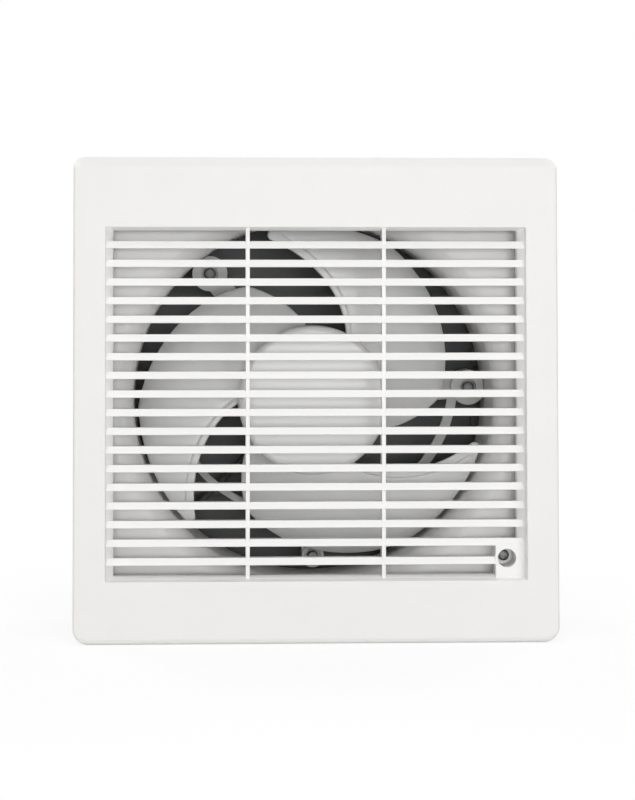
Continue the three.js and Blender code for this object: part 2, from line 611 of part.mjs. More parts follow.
place('motor_bracket', motorBracket(), 'whitePlastic');
const bracketScrew = panHeadScrew({
  radius: BRACKET_SCREW_RADIUS, length: BRACKET_SCREW_LENGTH, headRadius: BRACKET_SCREW_HEAD });
armPlaces.forEach(([x, z], i) => place(`bracket_screw_${ARM_NAMES[i]}`, bracketScrew, 'zincSteel',
  { at: [x, bracketFront - ARM_BOSS_HEIGHT - SEAT_GAP, z] }));

// ---------------------------------------------------------------- motor

const bushBore = SHAFT_RADIUS + RUN_GAP;
const bushSeat = BUSH_RADIUS + RUN_GAP;
const seatOuter = bushSeat + BUSH_SEAT_WALL;
const shellInner = MOTOR_RADIUS - MOTOR_SHELL;
const windingOut = MOTOR_RADIUS - BOLT_INSET - BOLT_RADIUS - WINDING_TO_BOLT;
const frontBushBack = shellFront + MOTOR_SHELL + SEAT_GAP;
const boltHoles = boltPlaces.map(([x, z]) => barY(BOLT_RADIUS + RUN_GAP, 0, boxEnd, x, z));

// Both shells are cups with a seat for a bush. The front one's seat stands out through the bracket.
const frontShell = () => turned([
  [bushSeat, frontBushBack - BUSH_LENGTH], [seatOuter, frontBushBack - BUSH_LENGTH], [seatOuter, shellFront],
  [MOTOR_RADIUS, shellFront], [MOTOR_RADIUS, stackFront - SEAT_GAP], [shellInner, stackFront - SEAT_GAP],
  [shellInner, shellFront + MOTOR_SHELL], [bushSeat, shellFront + MOTOR_SHELL]]);
const rearShell = () => turned([
  [bushSeat, shellBack - BUSH_LENGTH], [seatOuter, shellBack - BUSH_LENGTH],
  [seatOuter, shellBack - MOTOR_SHELL], [shellInner, shellBack - MOTOR_SHELL], [shellInner, rearShellFront],
  [MOTOR_RADIUS, rearShellFront], [MOTOR_RADIUS, shellBack], [bushSeat, shellBack]]);

function endWinding(y0, y1) {
  const [centreR, radiusR] = [windingOut - WINDING_THICKNESS / 2, WINDING_THICKNESS / 2];
  return turned(Array.from({ length: WINDING_SIDES }, (_, i) => {
    const [across, along] = polar(1, (i / WINDING_SIDES) * 360);
    return [centreR + radiusR * across, (y0 + y1) / 2 + ((y1 - y0) / 2) * along];
  }));
}

const damper = tube(BRACKET_BORE_RADIUS, DAMPER_RADIUS, damperFront, damperFront + DAMPER_THICKNESS);
const stator = tube(ROTOR_RADIUS + AIR_GAP, MOTOR_RADIUS - SEAT_GAP, stackFront, stackBack);
place('motor_damper', cutBy(damper, ...boltHoles), 'rubber');
place('motor_front_shell', cutBy(frontShell(), ...boltHoles), 'steel');
place('motor_rear_shell', cutBy(rearShell(), ...boltHoles), 'steel');
place('front_bush', tube(bushBore, BUSH_RADIUS, frontBushBack - BUSH_LENGTH, frontBushBack), 'bronze');
place('rear_bush', tube(bushBore, BUSH_RADIUS, shellBack - BUSH_LENGTH, shellBack - SEAT_GAP), 'bronze');
place('stator_core', cutBy(stator, ...boltHoles), 'laminations');
place('front_winding', endWinding(frontBushBack, stackFront - SEAT_GAP), 'copper');
place('rear_winding', endWinding(rearShellFront, shellBack - MOTOR_SHELL - SEAT_GAP), 'copper');
const motorBolt = panHeadScrew({ radius: BOLT_RADIUS, length: shellBack + BOLT_TAIL - bracketFront });
boltPlaces.forEach(([x, z], i) => place(`motor_bolt_${i + 1}`, motorBolt, 'zincSteel',
  { at: [x, bracketFront - SEAT_GAP, z] }));

// ---------------------------------------------------------------- impeller, shaft and rotor

const washerFront = webFront - HUB_BOSS_STEP - SEAT_GAP - WASHER_THICKNESS;
const nutFront = washerFront - SEAT_GAP - NUT_HEIGHT;
const shaftFront = nutFront - SHAFT_PAST_NUT;
const pinY = hubBossRear - DRIVE_PIN_RADIUS;

// The blade's middle surface, from leading to trailing edge (across) and from root to tip (out).
function bladePoint(across, out, turnDeg) {
  const rootRadius = HUB_RADIUS - HUB_WALL / 2;
  const { lerp } = THREE.MathUtils;
  const leadDeg = BLADE_LEAD_ROOT_DEG + BLADE_SWEEP_DEG * out;
  const rounding = BLADE_ROUND_DEG * Math.max(0, out - BLADE_ROUND_FROM) ** BLADE_ROUND_POWER;
  const trailDeg = BLADE_TRAIL_ROOT_DEG + BLADE_SWEEP_DEG * out + rounding;
  const leadY = lerp(BLADE_LEAD_ROOT_Y, BLADE_LEAD_TIP_Y, out);
  const trailY = lerp(BLADE_TRAIL_ROOT_Y, BLADE_TRAIL_TIP_Y, out);
  const [x, z] = polar(lerp(rootRadius, BLADE_RADIUS, out), lerp(leadDeg, trailDeg, across) + turnDeg);
  return [x, lerp(leadY, trailY, across) - BLADE_CAMBER * Math.sin(Math.PI * across), z];
}

// One blade as a closed grid of points: each row has the room side's points, then the rear side's.
function blade(turnDeg) {
  const [steps, rows] = [BLADE_STEPS_ACROSS, BLADE_STEPS_ALONG];
  const points = [];
  for (let j = 0; j <= rows; j += 1) {
    for (const face of [-1, 1]) {
      for (let i = 0; i <= steps; i += 1) {
        const [x, y, z] = bladePoint(i / steps, j / rows, turnDeg);
        const across = THREE.MathUtils.clamp(i / steps, BLADE_EDGE, 1 - BLADE_EDGE);
        points.push(x, y + ((face * BLADE_THICKNESS) / 2) * Math.sqrt(Math.sin(Math.PI * across)), z);
      }
    }
  }
  const rear = steps + 1;
  const at = (j, i) => j * rear * 2 + i;
  const index = [];
  const quad = (a, b, c, d) => index.push(a, b, c, a, c, d);
  for (let j = 0; j < rows; j += 1) {
    for (let i = 0; i < steps; i += 1) {
      quad(at(j, i), at(j, i + 1), at(j + 1, i + 1), at(j + 1, i));
      quad(at(j, rear + i), at(j + 1, rear + i), at(j + 1, rear + i + 1), at(j, rear + i + 1));
    }
    quad(at(j, 0), at(j + 1, 0), at(j + 1, rear), at(j, rear));
    quad(at(j, steps), at(j, rear + steps), at(j + 1, rear + steps), at(j + 1, steps));
  }
  for (let i = 0; i < steps; i += 1) {
    quad(at(0, i), at(0, rear + i), at(0, rear + i + 1), at(0, i + 1));
    quad(at(rows, i), at(rows, i + 1), at(rows, rear + i + 1), at(rows, rear + i));
  }
  const geometry = new THREE.BufferGeometry();
  geometry.setAttribute('position', new THREE.Float32BufferAttribute(points, 3));
  geometry.setIndex(index);
  return toSolid(geometry);
}

// Hub ring, web and boss with the blades, and a slot across the boss for the drive pin.
function impeller() {
  const inner = HUB_RADIUS - HUB_WALL;
  const blades = Array.from({ length: BLADE_COUNT }, (_, i) => blade((i * 360) / BLADE_COUNT));
  const body = joined(
    tube(inner, HUB_RADIUS, hubFront + SEAT_GAP, HUB_REAR, HUB_SIDES),
    tube((bushBore + HUB_BOSS_RADIUS) / 2, inner + HUB_WALL / 2, webFront, webFront + HUB_WALL, HUB_SIDES),
    tube(bushBore, HUB_BOSS_RADIUS, webFront - HUB_BOSS_STEP, hubBossRear),
    ...blades);
  const slotHalf = DRIVE_PIN_RADIUS + SEAT_GAP;
  return body.subtract(block(middled(0, slotHalf * 2), [pinY - slotHalf, hubBossRear + PAST],
    middled(0, (HUB_BOSS_RADIUS + PAST) * 2)));
}

// A shallow dish whose rounded edge meets the hub, with a spigot that sits inside the hub's wall.
function hubCap() {
  const centre = [HUB_RADIUS - CAP_EDGE_RADIUS, CAP_FRONT + CAP_EDGE_RADIUS];
  const outside = quarter(centre, CAP_EDGE_RADIUS, CAP_STEPS, 1);
  const inside = quarter(centre, CAP_EDGE_RADIUS - HUB_WALL, CAP_STEPS, 1).reverse();
  const spigotOuter = HUB_RADIUS - HUB_WALL - SEAT_GAP;
  const spigotInner = spigotOuter - HUB_WALL;
  const spigotEnd = hubFront + CAP_SPIGOT_LENGTH;
  const dish = [[0, CAP_FRONT], ...outside, [HUB_RADIUS, hubFront], [spigotOuter, hubFront],
    [spigotOuter, spigotEnd], [spigotInner, spigotEnd], [spigotInner, hubFront],
    ...inside.filter(([r]) => r < spigotInner), [0, CAP_FRONT + HUB_WALL]];
  return toSolid(new THREE.LatheGeometry(dish.map(([r, y]) => new THREE.Vector2(r, y)), HUB_SIDES));
}

function hexNut() {
  const corner = NUT_FLATS / 2 / Math.cos(Math.PI / NUT_SIDES);
  const nut = new THREE.CylinderGeometry(corner, corner, NUT_HEIGHT, NUT_SIDES)
    .translate(0, NUT_HEIGHT / 2, 0);
  return toSolid(nut).subtract(barY(bushBore, -PAST, NUT_HEIGHT + PAST, 0, 0, MOTOR_SIDES));
}

// The drive pin lies along Z through the shaft.
const pinAlongZ = (radius, length) => barX(radius, ...middled(0, length)).rotate([0, 90, 0]);

const impellerGroup = newGroup();
const turning = (y = 0) => ({ parent: impellerGroup, at: [0, y, 0] });
const shaftBar = barY(SHAFT_RADIUS, shaftFront, shellBack - SHAFT_REAR_INSET, 0, 0, MOTOR_SIDES);
const pinHole = pinAlongZ(DRIVE_PIN_RADIUS + RUN_GAP, SHAFT_RADIUS * 2 + PAST).translate([0, pinY, 0]);
place('impeller', impeller(), 'bladePlastic', turning());
place('hub_cap', hubCap(), 'bladePlastic', turning());
place('shaft_washer', tube(bushBore, WASHER_RADIUS, 0, WASHER_THICKNESS), 'zincSteel', turning(washerFront));
place('shaft_nut', hexNut(), 'zincSteel', turning(nutFront));
place('shaft', shaftBar.subtract(pinHole), 'steel', turning());
place('drive_pin', pinAlongZ(DRIVE_PIN_RADIUS, DRIVE_PIN_LENGTH), 'steel', turning(pinY));
place('rotor', tube(bushBore, ROTOR_RADIUS, stackFront, stackBack), 'laminations', turning());

// ---------------------------------------------------------------- rear shutter

const pivotY = shutterFront + PIVOT_SETBACK;
const flapTopZ = shutterInner - FLAP_HEADROOM;
const flapPitch = (shutterInner * 2 - FLAP_HEADROOM - FLAP_FOOTROOM) / FLAP_COUNT;
const flapZ = (i) => flapTopZ - i * flapPitch;
const flapRight = shutterInner - FLAP_SIDE_GAP;
const linkRight = -flapRight + LINK_THICKNESS + SEAT_GAP;
const linkLeft = linkRight - LINK_THICKNESS;
const flapLeft = linkRight + SEAT_GAP;
const pinEnd = boxWidth / 2 - PIVOT_INSET;
const [crankDrop, crankBack] = polar(CRANK_LENGTH, CRANK_DEG);

function shutterFrame() {
  const ring = (inner, radius, y0, y1) => slabY(roundedSquare(boxWidth, BOX_RADIUS), y0, y1)
    .subtract(slabY(roundedSquare(inner, radius), y0 - PAST, y1 + PAST));
  const wall = ring(shutterInner * 2, BOX_RADIUS - SHUTTER_WALL, shutterFront, shutterBack);
  const ledge = ring(boxWidth - SHUTTER_LEDGE * 2, LEDGE_RADIUS, shutterFront, shutterFront + SHUTTER_WALL);
  const pivotHoles = Array.from({ length: FLAP_COUNT }, (_, i) =>
    barX(PIVOT_RADIUS + SEAT_GAP, ...middled(0, boxWidth + PAST), pivotY, flapZ(i)));
  const screwHoles = corners.map(([sideX, sideZ]) => barY(SHUTTER_SCREW_RADIUS + SEAT_GAP,
    boxEnd, shutterFront + SHUTTER_WALL + PAST, sideX * shutterScrewX, sideZ * shutterScrewZ));
  return cutBy(wall.add(ledge), ...pivotHoles, ...screwHoles);
}

// A thin plate that hangs from its pivot pins at the origin, with a crank beside it for the link bar.
function flap() {
  const [top, bottom] = [FLAP_THICKNESS / 2, -flapPitch - FLAP_OVERLAP];
  const notch = bottom + FLAP_NOTCH;
  const outline = [
    [flapLeft, top], [flapLeft, notch], [flapLeft + FLAP_NOTCH, notch], [flapLeft + FLAP_NOTCH, bottom],
    [flapRight - FLAP_NOTCH, bottom], [flapRight - FLAP_NOTCH, notch], [flapRight, notch], [flapRight, top],
  ].map(([x, z]) => new THREE.Vector2(x, z));
  const plate = slabY(new THREE.Shape(outline), ...middled(0, FLAP_THICKNESS)).rotate([FLAP_LEAN_DEG, 0, 0]);
  const cheek = [flapLeft, flapLeft + LINK_THICKNESS];
  const web = block(cheek, middled(0, CRANK_WEB), [-CRANK_LENGTH, CRANK_PIN_RADIUS]);
  return joined(plate, web.rotate([CRANK_DEG, 0, 0]),
    barX(PIVOT_RADIUS, -pinEnd, flapLeft + PIVOT_ROOT),
    barX(PIVOT_RADIUS, flapRight - PIVOT_ROOT, pinEnd),
    barX(CRANK_BOSS_RADIUS, ...cheek, crankBack, -crankDrop),
    barX(CRANK_PIN_RADIUS, linkLeft - SEAT_GAP, flapLeft + PAST, crankBack, -crankDrop));
}

// A bar with round ends and one hole for each flap's crank pin, its top hole at the origin.
function shutterLink() {
  const across = [linkLeft, linkRight];
  const length = (FLAP_COUNT - 1) * flapPitch;
  const bar = joined(block(across, middled(0, LINK_WIDTH), [-length, 0]),
    barX(LINK_WIDTH / 2, ...across), barX(LINK_WIDTH / 2, ...across, 0, -length));
  return cutBy(bar, ...Array.from({ length: FLAP_COUNT }, (_, i) =>
    barX(CRANK_PIN_RADIUS + SEAT_GAP, linkLeft - PAST, linkRight + PAST, 0, -i * flapPitch)));
}

place('shutter_frame', shutterFrame(), 'greyPlastic');
const flapSolid = flap();
for (let i = 0; i < FLAP_COUNT; i += 1) {
  place(`shutter_flap_${i + 1}`, flapSolid, 'greyPlastic', { at: [0, pivotY, flapZ(i)] });
}
place('shutter_link', shutterLink(), 'blackPlastic', { at: [0, pivotY + crankBack, flapZ(0) - crankDrop] });
const shutterScrew = panHeadScrew({ radius: SHUTTER_SCREW_RADIUS, length: SHUTTER_SCREW_LENGTH });
corners.forEach(([sideX, sideZ], i) => {
  const screw = place(`shutter_screw_${i + 1}`, shutterScrew, 'zincSteel',
    { at: [sideX * shutterScrewX, shutterFront + SHUTTER_WALL + SEAT_GAP, sideZ * shutterScrewZ] });
  screw.rotation.z = Math.PI; // driven in from the outdoors
});

// ---------------------------------------------------------------- wiring in the corner pockets

const pocket = boxWidth / 2 - POCKET_INSET;
const capacitorPocket = newGroup(-pocket, SEAT_GAP, pocket);
const terminalPocket = newGroup(-pocket, SEAT_GAP, -pocket);

// A block that stands on the flange, larger by margin on every side but that one.
const pocketBlock = (width, length, height, margin, from = 0) =>
  block(middled(0, width + margin * 2), [from, length + margin], middled(0, height + margin * 2));

function capacitorStrap() {
  const around = SEAT_GAP + STRAP_THICKNESS;
  const band = block(middled(0, CAPACITOR_WIDTH + around * 2), [0, CAPACITOR_LENGTH + around],
    middled(0, STRAP_WIDTH));
  return band.subtract(pocketBlock(CAPACITOR_WIDTH, CAPACITOR_LENGTH, CAPACITOR_HEIGHT, SEAT_GAP, -PAST));
}

function terminalCover() {
  const size = [TERMINAL_WIDTH, TERMINAL_LENGTH, TERMINAL_HEIGHT];
  return cutBy(pocketBlock(...size, SEAT_GAP + TERMINAL_COVER_WALL), pocketBlock(...size, SEAT_GAP, -PAST),
    barY(LEAD_RADIUS + SEAT_GAP, TERMINAL_LENGTH, TERMINAL_LENGTH + TERMINAL_COVER_WALL + PAST));
}

// The motor's own lead, from the side of the rear shell over the throat's end to the terminal block.
function motorLead() {
  const high = shellBack - REAR_SHELL_LENGTH / 2;
  const pocketRadius = pocket * Math.SQRT2;
  const route = [
    [MOTOR_RADIUS + SEAT_GAP, high], [MOTOR_RADIUS + LEAD_STRAIGHT, high],
    [throatRadius - LEAD_IN_THROAT, high],
    ...LEAD_BENDS.map(([inside, below]) => [pocketRadius - inside, high - below]),
    [pocketRadius, TERMINAL_LENGTH + SEAT_GAP * 2],
  ].map(([radius, y]) => {
    const [x, z] = polar(radius, LEAD_DEG);
    return new THREE.Vector3(x, y, z);
  });
  const section = new THREE.Shape().absarc(0, 0, LEAD_RADIUS, 0, Math.PI * 2);
  return toSolid(new THREE.ExtrudeGeometry(section, {
    steps: LEAD_SEGMENTS, curveSegments: CORNER_SEGMENTS * 2,
    extrudePath: new THREE.CatmullRomCurve3(route, false, 'centripetal'),
  }));
}

// A ring with a groove for the box's wall, turned about the fan axis with the wall's outside at y = 0.
function grommet() {
  const inside = BOX_WALL + SEAT_GAP;
  return turned([[GROMMET_BORE, -SEAT_GAP - GROMMET_RIM], [GROMMET_RADIUS, -SEAT_GAP - GROMMET_RIM],
    [GROMMET_RADIUS, -SEAT_GAP], [GROMMET_NECK, -SEAT_GAP], [GROMMET_NECK, inside], [GROMMET_RADIUS, inside],
    [GROMMET_RADIUS, inside + GROMMET_RIM], [GROMMET_BORE, inside + GROMMET_RIM]], BOSS_SIDES);
}

place('capacitor', pocketBlock(CAPACITOR_WIDTH, CAPACITOR_LENGTH, CAPACITOR_HEIGHT, 0), 'blackPlastic',
  { parent: capacitorPocket });
place('capacitor_strap', capacitorStrap(), 'zincSteel', { parent: capacitorPocket });
place('terminal_block', pocketBlock(TERMINAL_WIDTH, TERMINAL_LENGTH - TERMINAL_HEADROOM, TERMINAL_HEIGHT, 0),
  'whitePlastic', { parent: terminalPocket });
place('terminal_cover', terminalCover(), 'blackPlastic', { parent: terminalPocket });
place('motor_lead', motorLead(), 'rubber');
const grommetMesh = place('cable_grommet', grommet(), 'rubber', { at: [-boxWidth / 2, GROMMET_Y, -pocket] });
grommetMesh.rotation.z = -Math.PI / 2; // its axis runs through the box's left side

export default fan;
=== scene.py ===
"""Window exhaust fan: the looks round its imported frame, laid out as a Blender add-on.

Metres. X to the right, +Y through the wall to the outdoors, +Z up.
The origin lies on the fan axis, in the plane of the wall's room side.
"""
import math

import bmesh
import bpy
from bpy.props import FloatProperty, FloatVectorProperty, IntProperty, PointerProperty
from mathutils import Matrix, Vector


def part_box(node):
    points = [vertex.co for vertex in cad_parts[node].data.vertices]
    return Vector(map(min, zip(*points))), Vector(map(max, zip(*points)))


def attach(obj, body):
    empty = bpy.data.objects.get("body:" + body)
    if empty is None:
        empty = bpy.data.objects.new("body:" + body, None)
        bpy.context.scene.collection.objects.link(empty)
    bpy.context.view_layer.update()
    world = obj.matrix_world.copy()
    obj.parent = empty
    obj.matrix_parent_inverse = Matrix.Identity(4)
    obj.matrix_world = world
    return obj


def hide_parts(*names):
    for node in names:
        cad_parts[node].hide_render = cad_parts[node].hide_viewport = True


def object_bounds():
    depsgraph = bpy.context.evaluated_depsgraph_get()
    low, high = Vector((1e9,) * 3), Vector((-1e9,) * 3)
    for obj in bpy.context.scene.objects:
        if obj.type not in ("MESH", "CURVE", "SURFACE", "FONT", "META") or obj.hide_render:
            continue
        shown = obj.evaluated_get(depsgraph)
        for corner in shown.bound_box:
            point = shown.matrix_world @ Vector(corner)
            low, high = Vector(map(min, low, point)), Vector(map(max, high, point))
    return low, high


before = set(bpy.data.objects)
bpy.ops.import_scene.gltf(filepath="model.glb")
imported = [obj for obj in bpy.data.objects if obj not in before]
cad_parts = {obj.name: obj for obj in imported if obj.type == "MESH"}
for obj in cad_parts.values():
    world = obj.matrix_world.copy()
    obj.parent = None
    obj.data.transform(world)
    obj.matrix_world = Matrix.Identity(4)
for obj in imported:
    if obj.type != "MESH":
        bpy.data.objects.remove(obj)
CAD_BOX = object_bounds()

bl_info = {
    "name": "Window Exhaust Fan",
    "version": (1, 0, 0),
    "blender": (4, 5, 0),
    "location": "View3D > Sidebar > Fan",
    "description": "Builds a window exhaust fan with its grille, impeller, motor and rear shutter",
    "category": "Add Mesh",
}

MM = 0.001
TAU = math.tau
BOXES = {}


def box_of(node):
    if node not in BOXES:
        BOXES[node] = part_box(node)
    return BOXES[node]


def low(node):
    return box_of(node)[0]


def high(node):
    return box_of(node)[1]


def middle(node):
    return (low(node) + high(node)) / 2


def reach(node):
    """Where a node starts and ends along Y."""
    return low(node).y, high(node).y


# ---------------------------------------------------------------- sizes and colours

def length(name, text, millimetres):
    return FloatProperty(name=name, description=text, default=millimetres * MM, unit="LENGTH", precision=5)


def colour(name, text, value):
    return FloatVectorProperty(name=name, description=text, default=value, subtype="COLOR", min=0, max=1)


class FanPanelSizes(bpy.types.PropertyGroup):
    """Sizes of the front panel and its grille."""
    top_bevel: length("Top bevel", "Height of the sloping strip along the top edge", 7)
    side_round: length("Side rounding", "Radius of the face's left and right edges", 1.6)
    bottom_round: length("Bottom rounding", "Radius of the face's lower edge", 4)
    top_corner: length("Top corners", "Outline radius of the top corners", 8)
    bottom_corner: length("Bottom corners", "Outline radius of the bottom corners", 11)
    wall: length("Wall", "Thickness of the moulding", 2.5)
    back: length("Rear rim", "Wall to the panel's rear rim", 3.3)
    face_top: length("Face depth at the top", "Wall to face at the crease of the bevel", 30)
    face_bottom: length("Face depth at the bottom", "Wall to face at the lower edge", 42)
    mouth_width: length("Mouth width", "Width of the grille's mouth", 295)
    mouth_height: length("Mouth height", "Height of the grille's mouth", 247)
    grille_width: length("Grille width", "Width between the grille's side walls", 285)
    grille_height: length("Grille height", "Height between the grille's end walls", 243)
    grille_front: length("Slat front", "Wall to the slats' front", 27)
    slope: length("Slope", "Depth of the sloping side walls", 5)
    lip: length("Mouth lip", "Rounding of the mouth's edge", 0.7)
    slat_count: IntProperty(name="Slats", description="Number of slats", default=18, min=1)
    slat_pitch: length("Slat pitch", "Distance from slat to slat", 13.1)
    slat_height: length("Slat height", "Height of a slat's front", 5.3)
    slat_depth: length("Slat depth", "Front to back of a slat", 12)
    slat_lean: length("Slat lean", "How far the upper front edge lies behind the lower one", 1.5)
    slat_round: length("Slat rounding", "Radius of a slat's long edges", 0.55)
    rib_width: length("Rib width", "Width of the upright ribs", 2.9)
    rib_offset: length("Rib offset", "Fan axis to each rib", 48)
    well_radius: length("Screw well", "Radius of the panel screw's well", 6.5)


class FanImpellerSizes(bpy.types.PropertyGroup):
    """Sizes of the impeller."""
    blades: IntProperty(name="Blades", description="Number of blades", default=3, min=2)
    radius: length("Impeller radius", "Fan axis to the blade tips", 127)
    hub: length("Hub radius", "Outside radius of the hub", 54)
    thickness: length("Blade thickness", "Thickness of a blade", 2.4)
    lead_root: length("Leading edge at the hub", "Wall to the blades' leading edge at the hub", 21)
    lead_tip: length("Leading edge at the tip", "Wall to the blades' leading edge at the tip", 15)
    trail_root: length("Trailing edge at the hub", "Wall to the blades' trailing edge at the hub", 42.5)
    trail_tip: length("Trailing edge at the tip", "Wall to the blades' trailing edge at the tip", 46)
    dish: length("Dish", "How far a blade's middle stands out of the line between its edges", 3)
    band_root: length("Edge band at the hub", "Width of the raised band at the hub", 3.8)
    band: length("Edge band", "Width of the raised band along the leading edge, at the tip", 7)
    band_height: length("Band height", "How far the band stands out of the blade", 0.9)
    groove: length("Groove", "Depth of the groove beside the band", 0.5)
    tip_round: length("Tip rounding", "Radius of the leading tip", 4.3)
    cap_edge: length("Cap edge", "Radius of the hub cap's edge", 8)
    cap_dome: length("Cap dome", "How far the cap's edge lies behind its middle", 0.8)


class FanHousingSizes(bpy.types.PropertyGroup):
    """Sizes of the housing, its bell-mouth and the motor bracket."""
    throat: length("Throat radius", "Inside radius of the air duct", 130)
    throat_end: length("Throat end", "Wall to the throat's rear end", 75)
    bell: length("Bell-mouth", "Radius of the rounded inlet", 16)
    flange: length("Flange", "Thickness of the wall flange", 3)
    box: length("Box", "Width of the square box in the wall", 288)
    box_wall: length("Box wall", "Thickness of the box", 2.5)
    arm_reach: length("Arm reach", "Fan axis to the screws of the bracket", 118)
    arm_width: length("Arm width", "Width of the bracket's arms", 16)
    boss: length("Boss radius", "Radius of the bosses at the arms' ends", 13)
    seat: length("Screw seat", "Radius of the sunk ring round the bracket's screws", 6.2)
    seat_depth: length("Seat depth", "Depth of the sunk ring", 4.5)


class FanMotorSizes(bpy.types.PropertyGroup):
    """Sizes of the motor and its shaft."""
    shell: length("Shell radius", "Outside radius of the motor's shells", 42)
    sheet: length("Shell sheet", "Thickness of the shells' steel", 2.2)
    front: length("Motor front", "Wall to the front face of the motor", 62.6)
    collar: length("Bush collar", "Outside radius of the collars that hold the bushes", 9.3)
    collar_bore: length("Collar bore", "Inside radius of the collars", 7.1)
    bush: length("Bush radius", "Outside radius of the bushes", 7)
    damper: length("Damper radius", "Outside radius of the rubber ring in front of the motor", 45)
    damper_bore: length("Damper bore", "Inside radius of the rubber ring", 24)
    stator: length("Stator radius", "Outside radius of the stator's sheets", 41.7)
    stator_bore: length("Stator bore", "Inside radius of the stator's sheets", 22.35)
    winding: length("Winding", "Half the width of a winding's ring", 4.25)
    rotor: length("Rotor radius", "Outside radius of the rotor", 22)
    shaft: length("Shaft radius", "Radius of the shaft", 4)
    shaft_bore: length("Shaft bore", "Inside radius of what sits on the shaft", 4.1)


class FanShutterSizes(bpy.types.PropertyGroup):
    """Sizes of the rear shutter."""
    edge: length("Edge rounding", "Radius of the frame's edges", 0.6)
    wall: length("Frame wall", "Thickness of the frame", 3)
    ledge: length("Ledge", "How far the frame's front ledge stands in", 13)
    corner: length("Frame corners", "Outline radius of the frame's corners", 10)
    pivot: length("Pivot depth", "Ledge's front to the flaps' pivots", 8)
    pitch: length("Flap pitch", "Distance from pivot to pivot", 52)
    top: length("Highest pivot", "Fan axis to the highest pivot", 129)
    lean: FloatProperty(name="Flap lean", description="Lean of a shut flap", default=math.radians(2.5),
                        unit="ROTATION")
    flap: length("Flap thickness", "Thickness of a flap", 1.6)
    rib_reach: length("Rib reach", "Fan axis to the ends of a flap's ribs", 122)
    rib: length("Rib width", "Width of a flap's stiffening ribs", 1.6)
    rib_height: length("Rib height", "How far a flap's ribs stand out", 0.8)
    lip_height: length("Lip height", "How far the lip along a flap's lower edge stands out", 1.4)


class FanFinishes(bpy.types.PropertyGroup):
    """Colours of the finishes, each under its finish's name."""
    panel_white: colour("Panel plastic", "Moulded white plastic of the front panel", (0.82, 0.812, 0.795))
    # Lighter than the panel's white: painted light on the slats, ribs, screw block and the mouth's walls.
    grille_white_with_painted_light: colour("Grille plastic", "Moulded white plastic of slats and mouth", (0.895, 0.888, 0.875))
    # Lighter than the panel's white: painted light, standing in for light that the housing behind the grille
    # lacks.
    housing_white: colour("Housing plastic", "Moulded white plastic of the housing", (0.87, 0.868, 0.858))
    # Grey, far darker than the other white plastics: painted shade on the bracket, which lies in shade behind
    # the impeller.
    bracket_white: colour("Bracket plastic", "Moulded white plastic of the motor bracket", (0.62, 0.62, 0.61))
    # Lighter than the panel's white: painted light, standing in for light that the impeller behind the grille
    # lacks.
    impeller_white: colour("Impeller plastic", "Glossy white plastic of the impeller", (0.88, 0.882, 0.88))
    # Dark grey: painted shade, so the shut shutter reads as the dark shade deep in the duct.
    shutter_grey: colour("Shutter plastic", "Grey plastic of the rear shutter", (0.125, 0.127, 0.131))
    black_plastic: colour("Black plastic", "Black plastic of the small covers", (0.03, 0.031, 0.033))
    black_rubber: colour("Rubber", "Black rubber", (0.018, 0.018, 0.019))
    grey_sheath: colour("Lead sheath", "Grey sheath of the motor's lead", (0.11, 0.112, 0.116))
    zinc_steel: colour("Zinc plate", "Zinc plated steel of the fasteners", (0.56, 0.57, 0.59))
    # Far darker than the zinc plate of the other screws: painted shade on the front screws in their recesses.
    zinc_with_painted_shade: colour("Dull zinc plate", "Dull zinc plate of the front screws", (0.21, 0.213, 0.22))
    pressed_steel: colour("Pressed steel", "Drawn steel of the motor shells", (0.42, 0.43, 0.44))
    ground_steel: colour("Ground steel", "Ground steel of the shaft", (0.55, 0.55, 0.56))
    laminated_steel: colour("Laminated steel", "Stacked electrical steel", (0.17, 0.175, 0.185))
    copper_wire: colour("Copper", "Enamelled copper wire", (0.48, 0.19, 0.07))
    bronze_bush: colour("Bronze", "Sintered bronze of the bushes", (0.40, 0.27, 0.12))


# ---------------------------------------------------------------- materials

def wired(tree, kind, inputs, **settings):
    """A new node's outputs. An input takes a value or another node's output."""
    node = tree.nodes.new(kind)
    for key, value in settings.items():
        setattr(node, key, value)
    for key, value in inputs.items():
        if isinstance(value, bpy.types.NodeSocket):
            tree.links.new(value, node.inputs[key])
        else:
            node.inputs[key].default_value = value
    return node.outputs


def shader_tree(name, base, roughness, metallic=0.0, specular=0.5):
    """A new material with its node tree and its shader's inputs."""
    material = bpy.data.materials.new(name)
    material.use_nodes = True
    inputs = material.node_tree.nodes["Principled BSDF"].inputs
    inputs["Base Color"].default_value = (*base, 1)
    inputs["Roughness"].default_value = roughness
    inputs["Metallic"].default_value = metallic
    inputs["Specular IOR Level"].default_value = specular
    return material, material.node_tree, inputs


